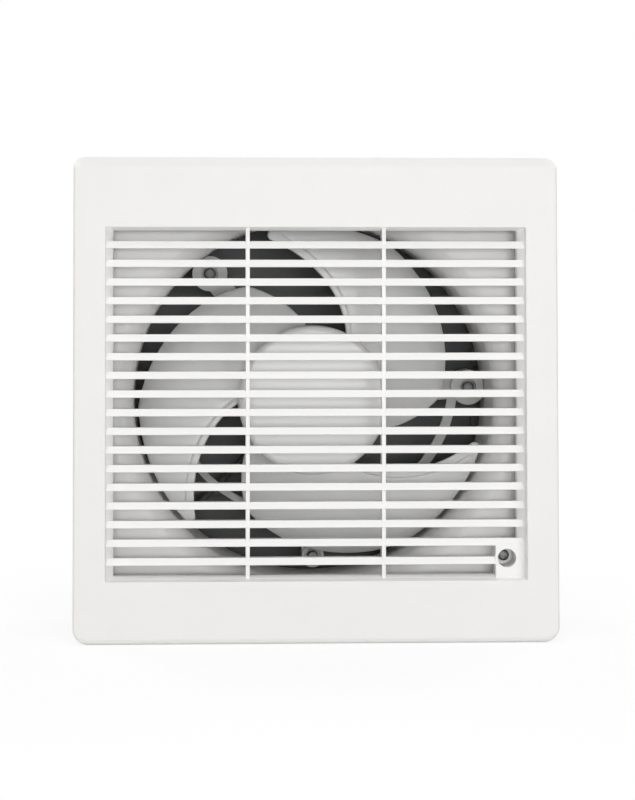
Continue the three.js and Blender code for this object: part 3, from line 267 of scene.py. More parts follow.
class Shader:
    """Node helper for one material whose pattern lies on Object coordinates, with scales per metre."""

    def __init__(self, name, base, roughness, metallic=0.0, specular=0.5):
        self.material, self.tree, self.inputs = shader_tree(name, base, roughness, metallic, specular)
        self.place = self.node("ShaderNodeTexCoord", {})["Object"]
        self.base, self.roughness = Vector(base), roughness

    def node(self, kind, inputs, **settings):
        return wired(self.tree, kind, inputs, **settings)

    def stretched(self, scale):
        """The place, scaled by axis, for grain that runs one way."""
        return self.node("ShaderNodeMapping", {"Vector": self.place, "Scale": scale})["Vector"]

    def noise(self, scale, detail=3.0, place=None):
        """Soft random blotches."""
        return self.node("ShaderNodeTexNoise", {"Vector": place or self.place, "Scale": scale,
                                                "Detail": detail})["Fac"]

    def waves(self, scale, distortion=0.0, **kind):
        """Even stripes."""
        return self.node("ShaderNodeTexWave", {"Vector": self.place, "Scale": scale,
                                               "Distortion": distortion}, **kind)["Fac"]

    def rings(self, scale):
        """Fine turned rings round the fan axis."""
        return self.waves(scale, wave_type="RINGS", rings_direction="Y")

    def shade(self, value, darker, lighter=1.0):
        """The base colour, from darker to lighter with the value."""
        ramp = self.tree.nodes.new("ShaderNodeValToRGB")
        for element, position, share in zip(ramp.color_ramp.elements, (0.3, 0.7), (darker, lighter)):
            element.position = position
            element.color = (*(self.base * share), 1)
        self.tree.links.new(value, ramp.inputs["Fac"])
        self.tree.links.new(ramp.outputs["Color"], self.inputs["Base Color"])

    def worn(self, value, less, more):
        """Roughness that goes up and down with the value."""
        spread = self.node("ShaderNodeMapRange", {"Value": value, "To Min": self.roughness - less,
                                                  "To Max": self.roughness + more})
        self.tree.links.new(spread["Result"], self.inputs["Roughness"])

    def relief(self, value, depth, after=None):
        """Bump of that depth in metres, over an earlier one where it is given."""
        inputs = {"Strength": 1, "Distance": depth, "Height": value}
        if after:
            inputs["Normal"] = after
        normal = self.node("ShaderNodeBump", inputs)["Normal"]
        self.tree.links.new(normal, self.inputs["Normal"])
        return normal


def moulded_plastic(name, base, roughness, grain=0.000012, mottle=0.985, flow=0.00004, wear=0.045):
    """Injection moulded plastic: fine sparked grain over slow flow waves, with a slight mottle."""
    s = Shader(name, base, roughness)
    s.shade(s.noise(34, 4), mottle)
    waves = s.relief(s.noise(26, 2), flow)
    s.relief(s.noise(2600, 2), grain, waves)
    s.worn(s.noise(90, 4), wear, wear)
    return s.material


def brushed_metal(name, base, roughness, stretch, depth):
    """Metal with fine scratches along one axis and a little stain."""
    s = Shader(name, base, roughness, metallic=1.0)
    s.shade(s.noise(160, 5), 0.86, 1.04)
    s.relief(s.noise(900, 3, s.stretched(stretch)), depth)
    s.worn(s.noise(420, 3, s.stretched(stretch)), 0.08, 0.12)
    return s.material


def turned_metal(name, base, roughness):
    """Metal turned round the fan axis."""
    s = Shader(name, base, roughness, metallic=1.0)
    s.shade(s.noise(210, 4), 0.88, 1.03)
    s.relief(s.rings(900), 0.000006)
    s.worn(s.noise(300, 3), 0.06, 0.08)
    return s.material


def rubbery(name, base):
    """Dull rubber with a fine uneven skin."""
    s = Shader(name, base, 0.72, specular=0.35)
    s.shade(s.noise(190, 4), 0.75, 1.25)
    s.relief(s.noise(1500, 3), 0.00003)
    s.worn(s.noise(240, 3), 0.1, 0.1)
    return s.material


def laminated_steel(name, base):
    """Edges of stacked sheets, half a millimetre each."""
    s = Shader(name, base, 0.5, metallic=0.85)
    s.shade(s.noise(260, 4), 0.7, 1.15)
    s.relief(s.waves(314, 0.4, bands_direction="Y"), 0.00005)
    s.worn(s.noise(300, 3), 0.1, 0.15)
    return s.material


def wound_copper(name, base):
    """Turns of enamelled wire round the fan axis."""
    s = Shader(name, base, 0.32, metallic=0.9)
    s.shade(s.noise(420, 3), 0.7, 1.1)
    s.relief(s.rings(420), 0.00022)
    s.worn(s.noise(350, 3), 0.08, 0.1)
    return s.material


# How much finer the scratches are along X, Y and Z.
EVEN, ALONG_Y = (1, 1, 1), (40, 1, 40)
# Each finish's recipe and its settings. Its colour has the same name.
RECIPES = {
    "panel_white": (moulded_plastic, {"roughness": 0.42}),
    "grille_white_with_painted_light": (moulded_plastic, {"roughness": 0.4}),
    "housing_white": (moulded_plastic, {"roughness": 0.42, "mottle": 0.97}),
    "bracket_white": (moulded_plastic, {"roughness": 0.45, "mottle": 0.965}),
    "impeller_white": (moulded_plastic, {"roughness": 0.3, "grain": 0.0000015, "mottle": 0.988,
                                         "flow": 0.00001, "wear": 0.01}),
    "shutter_grey": (moulded_plastic, {"roughness": 0.5, "grain": 0.00003, "mottle": 0.92}),
    "black_plastic": (moulded_plastic, {"roughness": 0.48, "grain": 0.00003, "mottle": 0.8}),
    "black_rubber": (rubbery, {}),
    "grey_sheath": (rubbery, {}),
    "zinc_with_painted_shade": (brushed_metal, {"roughness": 0.5, "stretch": EVEN, "depth": 0.00001}),
    "zinc_steel": (brushed_metal, {"roughness": 0.33, "stretch": EVEN, "depth": 0.00001}),
    "pressed_steel": (brushed_metal, {"roughness": 0.38, "stretch": ALONG_Y, "depth": 0.000008}),
    "ground_steel": (turned_metal, {"roughness": 0.24}),
    "laminated_steel": (laminated_steel, {}),
    "copper_wire": (wound_copper, {}),
    "bronze_bush": (turned_metal, {"roughness": 0.42}),
}
# Finishes that share another finish's slot.
FINISHES = {}


def finish_materials():
    colours = bpy.context.scene.fan_finishes
    for name, (recipe, settings) in RECIPES.items():
        FINISHES[name] = recipe(name, getattr(colours, name), **settings)


# ---------------------------------------------------------------- mesh helpers

def linked(name, data):
    """A new object at the origin, linked to the scene."""
    obj = bpy.data.objects.new(name, data)
    bpy.context.scene.collection.objects.link(obj)
    return obj


def evaluated(obj):
    """The object's mesh with its modifiers applied. The object is removed."""
    bpy.context.view_layer.update()
    mesh = bpy.data.meshes.new_from_object(obj.evaluated_get(bpy.context.evaluated_depsgraph_get()))
    bpy.data.objects.remove(obj)
    return mesh


def put(name, mesh, finish, body, nodes=None, sharp=32, inside=None):
    """Links a finished mesh as a piece that rides on a body and stands for CAD nodes, or the one of its name.

    inside is a second finish and the test of a face's centre that says where it goes.
    """
    nodes = (name,) if nodes is None else nodes
    mesh.materials.clear()
    mesh.materials.append(FINISHES[finish])
    second = [0] * len(mesh.polygons)
    if inside:
        mesh.materials.append(FINISHES[inside[0]])
        second = [int(inside[1](face.center)) for face in mesh.polygons]
    mesh.polygons.foreach_set("material_index", second)
    mesh.shade_smooth()
    mesh.set_sharp_from_angle(angle=math.radians(sharp))
    shaded = linked("shaded", mesh)
    shaded.modifiers.new("normals", "WEIGHTED_NORMAL").keep_sharp = True
    piece = linked(f"{name}.look", evaluated(shaded))
    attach(piece, body)
    if nodes:
        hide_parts(*nodes)


def mesh_of(bm):
    """A bmesh with doubles merged and faces outwards, as a mesh."""
    bmesh.ops.remove_doubles(bm, verts=bm.verts, dist=1e-6)
    bmesh.ops.dissolve_degenerate(bm, edges=bm.edges, dist=1e-7)
    bmesh.ops.recalc_face_normals(bm, faces=bm.faces)
    mesh = bpy.data.meshes.new("mesh")
    bm.to_mesh(mesh)
    bm.free()
    return mesh


def bmesh_of(*meshes):
    """Several meshes in one bmesh."""
    bm = bmesh.new()
    for mesh in meshes:
        bm.from_mesh(mesh)
    return bm


def merged(*meshes):
    """Several meshes in one."""
    bm = bmesh_of(*meshes)
    result = bpy.data.meshes.new("merged")
    bm.to_mesh(result)
    bm.free()
    return result


def loops_to_mesh(rings):
    """Quads between neighbouring rings of points, the last ring joined to the first."""
    bm = bmesh.new()
    rows = [[bm.verts.new(p) for p in ring] for ring in rings]
    for a, b in zip(rows, rows[1:] + rows[:1]):
        for i in range(len(a)):
            j = (i + 1) % len(a)
            bm.faces.new((a[i], a[j], b[j], b[i]))
    return mesh_of(bm)


def filleted(corners, steps=4):
    """A closed outline of (x, y, radius) corners, each rounded by its own radius."""
    points = []
    for i, (x, y, radius) in enumerate(corners):
        here = Vector((x, y))
        before = Vector(corners[i - 1][:2]) - here
        after = Vector(corners[(i + 1) % len(corners)][:2]) - here
        half = before.angle(after) / 2
        nearly_straight, most_of_side = half > 1.55, 0.49
        if radius <= 0 or nearly_straight:
            points.append(here)
            continue
        cut = min(radius / math.tan(half), most_of_side * before.length, most_of_side * after.length)
        centre = here + (before.normalized() + after.normalized()).normalized() * (cut / math.cos(half))
        start = here + before.normalized() * cut - centre
        end = here + after.normalized() * cut - centre
        turn = math.atan2(start.x * end.y - start.y * end.x, start.dot(end))
        for k in range(steps + 1):
            a = turn * k / steps
            points.append(centre + Vector((start.x * math.cos(a) - start.y * math.sin(a),
                                           start.x * math.sin(a) + start.y * math.cos(a))))
    return points


def turned(corners, sides=96, steps=4, axis="Y", at=(0, 0, 0)):
    """A closed outline of (radius, along, rounding) corners turned about Y or X through a point."""
    outline = filleted(corners, steps)
    rings = []
    for k in range(sides):
        c, s = math.cos(TAU * k / sides), math.sin(TAU * k / sides)
        ring = [(r * c, y, r * s) if axis == "Y" else (y, r * c, r * s) for r, y in outline]
        rings.append([Vector(p) + Vector(at) for p in ring])
    return loops_to_mesh(rings)


def sleeve(inner, outer, ys, rounds, sides=96, at=(0, 0, 0)):
    """A plain ring about Y. Its roundings go inner start, outer start, outer end, inner end."""
    corners = zip((inner, outer, outer, inner), (ys[0], ys[0], ys[1], ys[1]), rounds)
    return turned(list(corners), sides, at=at)


def bevelled(bm, width, angle=35, segments=3):
    """Rounds the edges whose faces meet at more than the angle."""
    bmesh.ops.remove_doubles(bm, verts=bm.verts, dist=1e-6)
    bmesh.ops.recalc_face_normals(bm, faces=bm.faces)
    edges = [e for e in bm.edges if len(e.link_faces) == 2 and e.calc_face_angle(0) > math.radians(angle)]
    if edges and width > 0:
        bmesh.ops.bevel(bm, geom=edges, offset=width, offset_type="OFFSET", segments=segments,
                        profile=0.5, affect="EDGES", clamp_overlap=True)
    return bm


def prism(outline, start, end, width=0.0, segments=3):
    """An outline in X and Z, as thick as start to end along Y, with its edges rounded."""
    bm = bmesh.new()
    rows = [[bm.verts.new((p[0], y, p[1])) for p in outline] for y in (start, end)]
    for i in range(len(outline)):
        j = (i + 1) % len(outline)
        bm.faces.new((rows[0][i], rows[0][j], rows[1][j], rows[1][i]))
    bm.faces.new(rows[0])
    bm.faces.new(rows[1])
    return mesh_of(bevelled(bm, width, segments=segments))


def brick(xs, ys, zs, width=0.0, segments=3):
    """A block between the limits on each axis, with its edges rounded."""
    (x0, x1), (z0, z1) = xs, zs
    return prism([(x0, z0), (x1, z0), (x1, z1), (x0, z1)], *ys, width, segments)


def combined(mesh, others, operation):
    """Union, intersection or difference with the other meshes, one after another."""
    for other in others:
        obj, tool = linked("work", mesh), linked("tool", other)
        modifier = obj.modifiers.new("boolean", "BOOLEAN")
        modifier.operation, modifier.solver, modifier.object = operation, "EXACT", tool
        mesh = evaluated(obj)
        bpy.data.objects.remove(tool)
    return mesh


def drilled(mesh, bores):
    """The mesh without what the bores take away."""
    return combined(mesh, bores, "DIFFERENCE")


def softened(mesh, width, segments=3):
    """The mesh with its hard edges rounded."""
    bm = bmesh_of(mesh)
    bmesh.ops.dissolve_limit(bm, angle_limit=math.radians(0.5), verts=bm.verts, edges=bm.edges)
    return mesh_of(bevelled(bm, width, 40, segments))


def rod(radius, start, end, x=0.0, z=0.0, axis="Y", sides=48, chamfer=0.0):
    """A round bar along an axis, at x and z, or at y and z along X."""
    at = (x, 0, z) if axis == "Y" else (0, x, z)
    return turned([(0, start, 0), (radius, start, chamfer), (radius, end, chamfer), (0, end, 0)],
                  sides, axis=axis, at=at)


def rounded_rectangle(width, height, top, bottom=None, middle_z=0.0, straight=8, corner=8):
    """Points of a rounded rectangle in X and Z, counter-clockwise from the right side's foot."""
    bottom = top if bottom is None else bottom
    r, t, b = width / 2, middle_z + height / 2, middle_z - height / 2
    arcs = [(r - top, t - top, top, 0), (top - r, t - top, top, 90),
            (bottom - r, b + bottom, bottom, 180), (r - bottom, b + bottom, bottom, 270)]
    points = []
    for i, (x, z, radius, start) in enumerate(arcs):
        for k in range(corner + 1):
            a = math.radians(start + 90 * k / corner)
            points.append(Vector((x + radius * math.cos(a), z + radius * math.sin(a))))
        x, z, radius, start = arcs[(i + 1) % 4]
        a, here = math.radians(start), points[-1]
        there = Vector((x + radius * math.cos(a), z + radius * math.sin(a)))
        points += [here.lerp(there, k / straight) for k in range(1, straight)]
    return points


def box_loops(rows):
    """A closed frame whose rows are (half width, half height, corner radius, y), round the fan axis."""
    return loops_to_mesh([[Vector((p.x, y, p.y)) for p in rounded_rectangle(w * 2, h * 2, radius)]
                          for w, h, radius, y in rows])


def node_copy(node):
    """A merged copy of a CAD node's mesh."""
    return mesh_of(bmesh_of(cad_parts[node].data))


def moved(mesh, x=0.0, y=0.0, z=0.0):
    """The mesh itself, moved."""
    mesh.transform(Matrix.Translation((x, y, z)))
    return mesh


class Tree:
    """A geometry node tree with named inputs, and the mesh that it makes."""

    def __init__(self, name):
        self.group = bpy.data.node_groups.new(name, "GeometryNodeTree")
        self.sockets = self.group.interface
        self.sockets.new_socket("Points", in_out="INPUT", socket_type="NodeSocketGeometry")
        self.sockets.new_socket("Geometry", in_out="OUTPUT", socket_type="NodeSocketGeometry")
        self.entry = self.group.nodes.new("NodeGroupInput")
        self.values = {}

    def size(self, name, value, kind="NodeSocketFloat"):
        """A named input of the tree, with its value."""
        item = self.sockets.new_socket(name, in_out="INPUT", socket_type=kind)
        self.values[item.identifier] = value
        return self.entry.outputs[name]

    def node(self, kind, inputs, **settings):
        return wired(self.group, kind, inputs, **settings)

    def math(self, operation, a, b=0.0):
        return self.node("ShaderNodeMath", {0: a, 1: b}, operation=operation)[0]

    def times(self, a, b):
        return self.math("MULTIPLY", a, b)

    def vector(self, x=0.0, y=0.0, z=0.0):
        return self.node("ShaderNodeCombineXYZ", {0: x, 1: y, 2: z})[0]

    def axes(self):
        """X, Y and Z of each point."""
        place = self.node("GeometryNodeInputPosition", {})[0]
        return self.node("ShaderNodeSeparateXYZ", {0: place})

    def join(self, *parts):
        joined = self.group.nodes.new("GeometryNodeJoinGeometry")
        for part in parts:
            self.group.links.new(part, joined.inputs[0])
        return joined.outputs[0]

    def swept(self, curve, profile):
        return self.node("GeometryNodeCurveToMesh", {"Curve": curve, "Profile Curve": profile,
                                                     "Fill Caps": True})[0]

    def result(self, geometry, finish, points=None):
        """The mesh that the tree makes from its inputs, and from points where they are given."""
        material = self.size("Material", FINISHES[finish], "NodeSocketMaterial")
        real = self.node("GeometryNodeRealizeInstances", {0: geometry})[0]
        done = self.node("GeometryNodeSetMaterial", {"Geometry": real, "Material": material})[0]
        self.group.links.new(done, self.group.nodes.new("NodeGroupOutput").inputs[0])
        obj = linked("nodes", points or bpy.data.meshes.new("none"))
        modifier = obj.modifiers.new("nodes", "NODES")
        modifier.node_group = self.group
        for identifier, value in self.values.items():
            modifier[identifier] = value
        return evaluated(obj)


# ---------------------------------------------------------------- front panel

# The two top hooks: their axis, and the distance of each from the fan axis.
HOOK_Y, HOOK_Z, HOOK_X = -0.0054, 0.1675, 0.08
# The screw's block reaches this far left of the well, and grille parts run this far into the mouth's walls.
BLOCK_REACH, OVERLAP = 0.008, 0.0008


def face_depth(p, z):
    """The face's distance from the wall at a height. It leans out towards the bottom."""
    top, bottom = high("front_panel").z - p.top_bevel, low("front_panel").z + p.bottom_round
    return p.face_top + (p.face_bottom - p.face_top) * (top - z) / (top - bottom)


def panel_ring(p, side, top, bottom, depths=(0, 0, 0), level=None):
    """A ring round the panel, set in from its outline at the sides, top and bottom.

    Depths are the ring's distances behind the face at the side, top and bottom; level is a plain Y instead.
    """
    lo, hi = box_of("front_panel")
    height, centre = hi.z - lo.z, (lo.z + hi.z) / 2
    ring = []
    for x, z in rounded_rectangle(hi.x - lo.x, height, p.top_corner, p.bottom_corner, centre, straight=10):
        corner = p.top_corner if z > 0 else p.bottom_corner
        across = max(0.0, (abs(x) - (hi.x - corner)) / corner)
        along = max(0.0, (abs(z - centre) - (height / 2 - corner)) / corner)
        norm = math.hypot(across, along) or 1.0
        c, s = across / norm, along / norm
        inset, depth = (top, depths[1]) if z > 0 else (bottom, depths[2])
        x -= math.copysign(side * c, x)
        z -= math.copysign(inset * s, z)
        behind = depths[0] * c * c + depth * s * s
        ring.append(Vector((x, level if level is not None else behind - face_depth(p, z), z)))
    return ring


def mouth_ring(p, width, height, y=None, behind=0.0):
    """A ring round the grille's mouth, at a plain Y or behind the face."""
    return [Vector((x, y if y is not None else behind - face_depth(p, z), z))
            for x, z in rounded_rectangle(width, height, 0.0008, straight=10)]


def panel_shell(p):
    """The panel's moulding as one closed skin: rear rim, face, grille's mouth, and the back of them.

    Rows a few tenths of a millimetre apart keep its edges tight.
    """
    back, wall, lip, tight = -p.back, p.wall, p.lip, 0.0004
    run, outline_round, crease_round = 0.02, 0.0012, 0.0006
    strip = filleted([(0, run, 0), (0, p.top_bevel, outline_round), (p.top_bevel, 0, crease_round),
                      (run, 0, 0)], 3)[1:-1]
    rings = [panel_ring(p, 0, 0, 0, level=back)]
    for k, (inset, depth) in enumerate(strip):
        a = math.pi / 2 * k / (len(strip) - 1)
        near, far = 1 - math.cos(a), 1 - math.sin(a)
        rings.append(panel_ring(p, p.side_round * near, inset, p.bottom_round * near,
                                (p.side_round * far, depth, p.bottom_round * far)))
    rings.append(panel_ring(p, p.side_round + tight, p.top_bevel + tight, p.bottom_round + tight))
    rings.append(mouth_ring(p, p.mouth_width + 2 * (lip + tight), p.mouth_height + 2 * (lip + tight)))
    for k in range(4):
        a = math.pi / 2 * k / 3
        grow = 2 * lip * (1 - math.sin(a))
        rings.append(mouth_ring(p, p.mouth_width + grow, p.mouth_height + grow,
                                behind=lip * (1 - math.cos(a))))
    # Down the mouth's sloping walls to their rear end, and forward again on their outside.
    front, slope_end, inner_end = -p.grille_front, p.slope - p.grille_front, p.slat_depth - p.grille_front
    mouth, grille, both = (p.mouth_width, p.mouth_height), (p.grille_width, p.grille_height), wall * 2
    for (width, height), wider, taller, y in (
            (mouth, 0, 0, front - 0.0004), (mouth, -0.0004, -0.0002, front + 0.0003),
            (grille, 0.0006, 0.0003, slope_end - 0.0003), (grille, 0, 0, slope_end + 0.0006),
            (grille, 0, 0, inner_end - 0.0005), (grille, wall, wall, inner_end),
            (grille, both, both, inner_end - 0.0005), (grille, both, both, slope_end),
            (mouth, both, both, front)):
        rings.append(mouth_ring(p, width + wider, height + taller, y))
    rings += [mouth_ring(p, p.mouth_width + both, p.mouth_height + both, behind=wall),
              panel_ring(p, wall, p.top_bevel, p.bottom_round, (wall, wall, wall)),
              panel_ring(p, wall, wall, wall, (wall, p.top_bevel, p.bottom_round)),
              panel_ring(p, wall, wall, wall, level=back - tight),
              panel_ring(p, wall * 0.8, wall * 0.8, wall * 0.8, level=back)]
    return loops_to_mesh(rings)


def slat_mesh(p):
    """All slats, one tapered bar repeated; the lowest one stops at the screw's block."""
    t = Tree("Grille slats")
    count = t.size("Count", p.slat_count, "NodeSocketInt")
    pitch = t.size("Pitch", p.slat_pitch)
    wide = t.size("Width", p.mouth_width + OVERLAP)
    high_side = t.times(t.size("Height", p.slat_height), 0.5)
    low_side = t.times(high_side, -1)
    depth = t.size("Depth", p.slat_depth)
    lean = t.size("Lean", p.slat_lean)
    narrowing = t.size("Narrowing", (p.mouth_width - p.grille_width) / p.mouth_width / p.slat_depth)
    short = t.size("Lowest slat's right end", middle("panel_screw").x - BLOCK_REACH + 0.0005)
    back = t.times(depth, -1)
    # The profile's X and Y come out along -Y and -Z of a bar that runs along X.
    top_taper, foot_taper = 0.0008, 0.0004
    profile = t.node("GeometryNodeCurvePrimitiveQuadrilateral", {
        "Point 1": t.vector(0.0, high_side),
        "Point 2": t.vector(back, t.math("SUBTRACT", high_side, top_taper)),
        "Point 3": t.vector(back, t.math("ADD", low_side, foot_taper)),
        "Point 4": t.vector(t.times(lean, -1), low_side)}, mode="POINTS")[0]
    soft = t.node("GeometryNodeFilletCurve", {"Curve": profile, "Radius": t.size("Rounding", p.slat_round),
                                              "Count": 4}, mode="POLY")[0]
    half = t.times(wide, 0.5)
    bar = t.swept(t.node("GeometryNodeCurvePrimitiveLine",
                         {"Start": t.vector(t.times(half, -1)), "End": t.vector(half)})[0], soft)
    lowest = t.times(t.math("SUBTRACT", count, 1.0), t.times(pitch, -0.5))
    places = t.node("GeometryNodeMeshLine", {"Count": count, "Start Location": t.vector(z=lowest),
                                             "Offset": t.vector(z=pitch)})[0]
    bars = t.node("GeometryNodeInstanceOnPoints", {"Points": places, "Instance": bar})[0]
    real = t.node("GeometryNodeRealizeInstances", {0: bars})[0]
    x, y, z = t.axes()[:3]
    narrowed = t.times(x, t.math("SUBTRACT", 1.0, t.times(y, narrowing)))
    is_lowest = t.math("LESS_THAN", z, t.math("ADD", lowest, t.times(pitch, 0.5)))
    stop = t.math("MINIMUM", narrowed, short)
    choice = t.node("ShaderNodeMix", {0: is_lowest, 2: narrowed, 3: stop}, data_type="FLOAT")[0]
    placed = t.vector(choice, t.math("SUBTRACT", y, t.size("Slat front", p.grille_front)), z)
    shaped = t.node("GeometryNodeSetPosition", {"Geometry": real, "Position": placed})[0]
    return t.result(shaped, "grille_white_with_painted_light")


def panel_details(p):
    """The upright ribs, the screw's block with its well, and the hook lugs."""
    front, inner_end = -p.grille_front, p.slat_depth - p.grille_front
    end, well = p.mouth_height / 2, middle("panel_screw")
    parts = [brick((x - p.rib_width / 2, x + p.rib_width / 2), (front + p.slat_lean / 2, inner_end),
                   (-end - OVERLAP / 2, end + OVERLAP / 2), 0.0004) for x in (-p.rib_offset, p.rib_offset)]
    second_lowest = (1.5 - p.slat_count / 2) * p.slat_pitch
    block = brick((well.x - BLOCK_REACH, p.mouth_width / 2 + OVERLAP), (front, inner_end),
                  (-end - OVERLAP, second_lowest), 0.0006)
    parts.append(drilled(block, [rod(p.well_radius, -0.05, -0.01, well.x, well.z)]))
    bore, floor_front, foot = 0.0023, -0.008, -p.back
    inner, outer, floor_back = p.well_radius, p.well_radius + 0.0022, floor_front + p.wall
    parts.append(turned([
        (inner, front - 0.0001, 0.0005), (inner + 0.0012, front - 0.0001, 0.0005),
        (outer, front + 0.0008, 0.0004), (outer, foot, 0.0003), (inner, foot, 0.0003),
        (inner, floor_back, 0.0003), (bore, floor_back, 0.0002), (bore, floor_front, 0.0003),
        (inner, floor_front, 0.0008)], 64, at=(well.x, 0, well.z)))
    pin, web, half = 0.002, 0.0014, 0.008
    for x in (-HOOK_X, HOOK_X):
        parts.append(rod(pin, x - half, x + half, HOOK_Y, HOOK_Z, axis="X", sides=32, chamfer=0.0003))
        parts.append(brick((x - pin, x + pin), (HOOK_Y - web, HOOK_Y + web),
                           (HOOK_Z, high("front_panel").z - 0.0012), 0.0003))
    return merged(*parts)


class FAN_OT_panel(bpy.types.Operator):
    """Build the front panel with its grille, screw well and hooks"""
    bl_idname = "fan.front_panel"
    bl_label = "Front panel"

    def execute(self, context):
        p = context.scene.fan_panel
        half_x, half_z = p.mouth_width / 2 + p.lip * 0.6, p.mouth_height / 2 + p.lip * 0.6
        # The mouth's walls of the same moulding take the grille's lighter white, which is painted light.
        put("front_panel", panel_shell(p), "panel_white", "panel", sharp=50,
            inside=("grille_white_with_painted_light", lambda c: abs(c.x) < half_x and abs(c.z) < half_z))
        put("grille_slats", slat_mesh(p), "grille_white_with_painted_light", "panel", (), sharp=50)
        put("grille_ribs_and_screw_well", panel_details(p), "grille_white_with_painted_light", "panel", (), sharp=50)
        return {"FINISHED"}


# ---------------------------------------------------------------- screws

def screw_mesh(places, shank, head, height, length_below, facing, finish):
    """Pan-head screws with a cross recess and a thread, at points under their heads."""
    points = bpy.data.meshes.new("places")
    points.from_pydata([tuple(p) for p in places], [], [])
    t = Tree("Pan head screws")
    radius, head_radius = t.size("Shank radius", shank), t.size("Head radius", head)
    head_height, length_below = t.size("Head height", height), t.size("Length", length_below)
    blank = t.node("GeometryNodeMeshCylinder", {"Vertices": 40, "Side Segments": 1, "Fill Segments": 10,
                                                "Radius": head_radius, "Depth": head_height})[0]
    x, y, z = t.axes()[:3]
    out = t.math("DIVIDE", t.math("SQRT", t.math("ADD", t.times(x, x), t.times(y, y))), head_radius)
    crown = t.math("SQRT", t.math("MAXIMUM", t.math("SUBTRACT", 1.0, t.math("POWER", out, 3.0)), 0.03))
    side = 0.28
    rise = t.times(head_height, t.math("ADD", t.times(crown, 1 - side), side))
    front = t.math("GREATER_THAN", z, 0.0)
    cut = t.node("GeometryNodeSetPosition", {
        "Geometry": blank, "Position": t.vector(x, y, t.times(front, rise))})[0]
    # The cross recess and the thread are shares of the shank and the head.
    width, across, deep = t.times(radius, 0.72), t.times(head_radius, 1.3), t.times(head_height, 1.3)
    for size in (t.vector(width, across, deep), t.vector(across, width, deep)):
        bar = t.node("GeometryNodeMeshCube", {"Size": size})[0]
        bar = t.node("GeometryNodeTransform", {"Geometry": bar, "Translation": t.vector(z=head_height)})[0]
        cut = t.node("GeometryNodeMeshBoolean", {0: cut, 1: bar}, operation="DIFFERENCE", solver="EXACT")[0]
    core, pitch, threaded = t.times(radius, 0.86), t.times(radius, 0.55), t.times(length_below, 0.94)
    body = t.node("GeometryNodeMeshCylinder", {"Vertices": 24, "Radius": core, "Depth": length_below})[0]
    body = t.node("GeometryNodeTransform", {
        "Geometry": body, "Translation": t.vector(z=t.times(length_below, -0.5))})[0]
    spiral = t.node("GeometryNodeCurveSpiral", {
        "Resolution": 16, "Rotations": t.math("DIVIDE", threaded, pitch), "Start Radius": core,
        "End Radius": core, "Height": t.times(threaded, -1)})[0]
    ridge = t.node("GeometryNodeCurvePrimitiveCircle", {"Resolution": 4, "Radius": t.times(radius, 0.16)})[0]
    screw = t.join(cut, body, t.swept(spiral, ridge))
    screw = t.node("GeometryNodeTransform", {"Geometry": screw, "Rotation": facing})[0]
    result = t.node("GeometryNodeInstanceOnPoints", {"Points": t.entry.outputs["Points"],
                                                     "Instance": screw})[0]
    return t.result(result, finish, points)


TO_ROOM = (math.pi / 2, 0, 0)
TO_OUTDOORS = (-math.pi / 2, 0, 0)
# Piece, body, nodes, shank radius, head radius, side that the heads face, finish.
SCREWS = (
    ("panel_screw", "panel", ("panel_screw",), 0.002, 0.004, TO_ROOM, "zinc_with_painted_shade"),
    ("bracket_screws", "housing", ("bracket_screw_right", "bracket_screw_upper", "bracket_screw_lower"),
     0.002, 0.0044, TO_ROOM, "zinc_with_painted_shade"),
    ("motor_bolts", "housing", [f"motor_bolt_{i}" for i in range(1, 5)], 0.0018, 0.0036, TO_ROOM,
     "zinc_steel"),
    ("shutter_screws", "housing", [f"shutter_screw_{i}" for i in range(1, 5)], 0.0017, 0.0034, TO_OUTDOORS,
     "zinc_steel"),
)


class FAN_OT_screws(bpy.types.Operator):
    """Build the panel screw, the bracket screws, the motor bolts and the shutter screws"""
    bl_idname = "fan.screws"
    bl_label = "Screws"

    def execute(self, context):
        for name, body, nodes, shank, head, facing, finish in SCREWS:
            start, end = reach(nodes[0])
            height = shank * 1.1
            places = []
            for node in nodes:
                seat = low(node).y + height if facing is TO_ROOM else high(node).y - height
                places.append((middle(node).x, seat, middle(node).z))
            put(name, screw_mesh(places, shank, head, height, end - start - height, facing, finish),
                finish, body, nodes, sharp=40)
        ring = middle("panel_screw_retainer")
        put("panel_screw_retainer",
            sleeve(0.0021, 0.005, reach("panel_screw_retainer"), (0.0001, 0.0003, 0.0003, 0.0001), 48,
                   (ring.x, 0, ring.z)), "black_plastic", "panel")
        return {"FINISHED"}


# ---------------------------------------------------------------- housing

ARM_DEGREES = (3.5, 129, 271)
# The lower boss is about as narrow as its arm.
BOSS_SHARES = (1, 1, 0.63)
# Each brace's end in degrees, its growth per degree, the radius that it doesn't pass, and half its width.
BRACES = ((363.5, 0.000249, 0.107, 0.0035), (129, 0.000239, 0.0975, 0.0025))
BRACE_ROOT = 0.084


def arm_places(h):
    """X, Z and boss radius at the end of each arm."""
    return [(h.arm_reach * math.cos(math.radians(a)), h.arm_reach * math.sin(math.radians(a)), h.boss * share)
            for a, share in zip(ARM_DEGREES, BOSS_SHARES)]


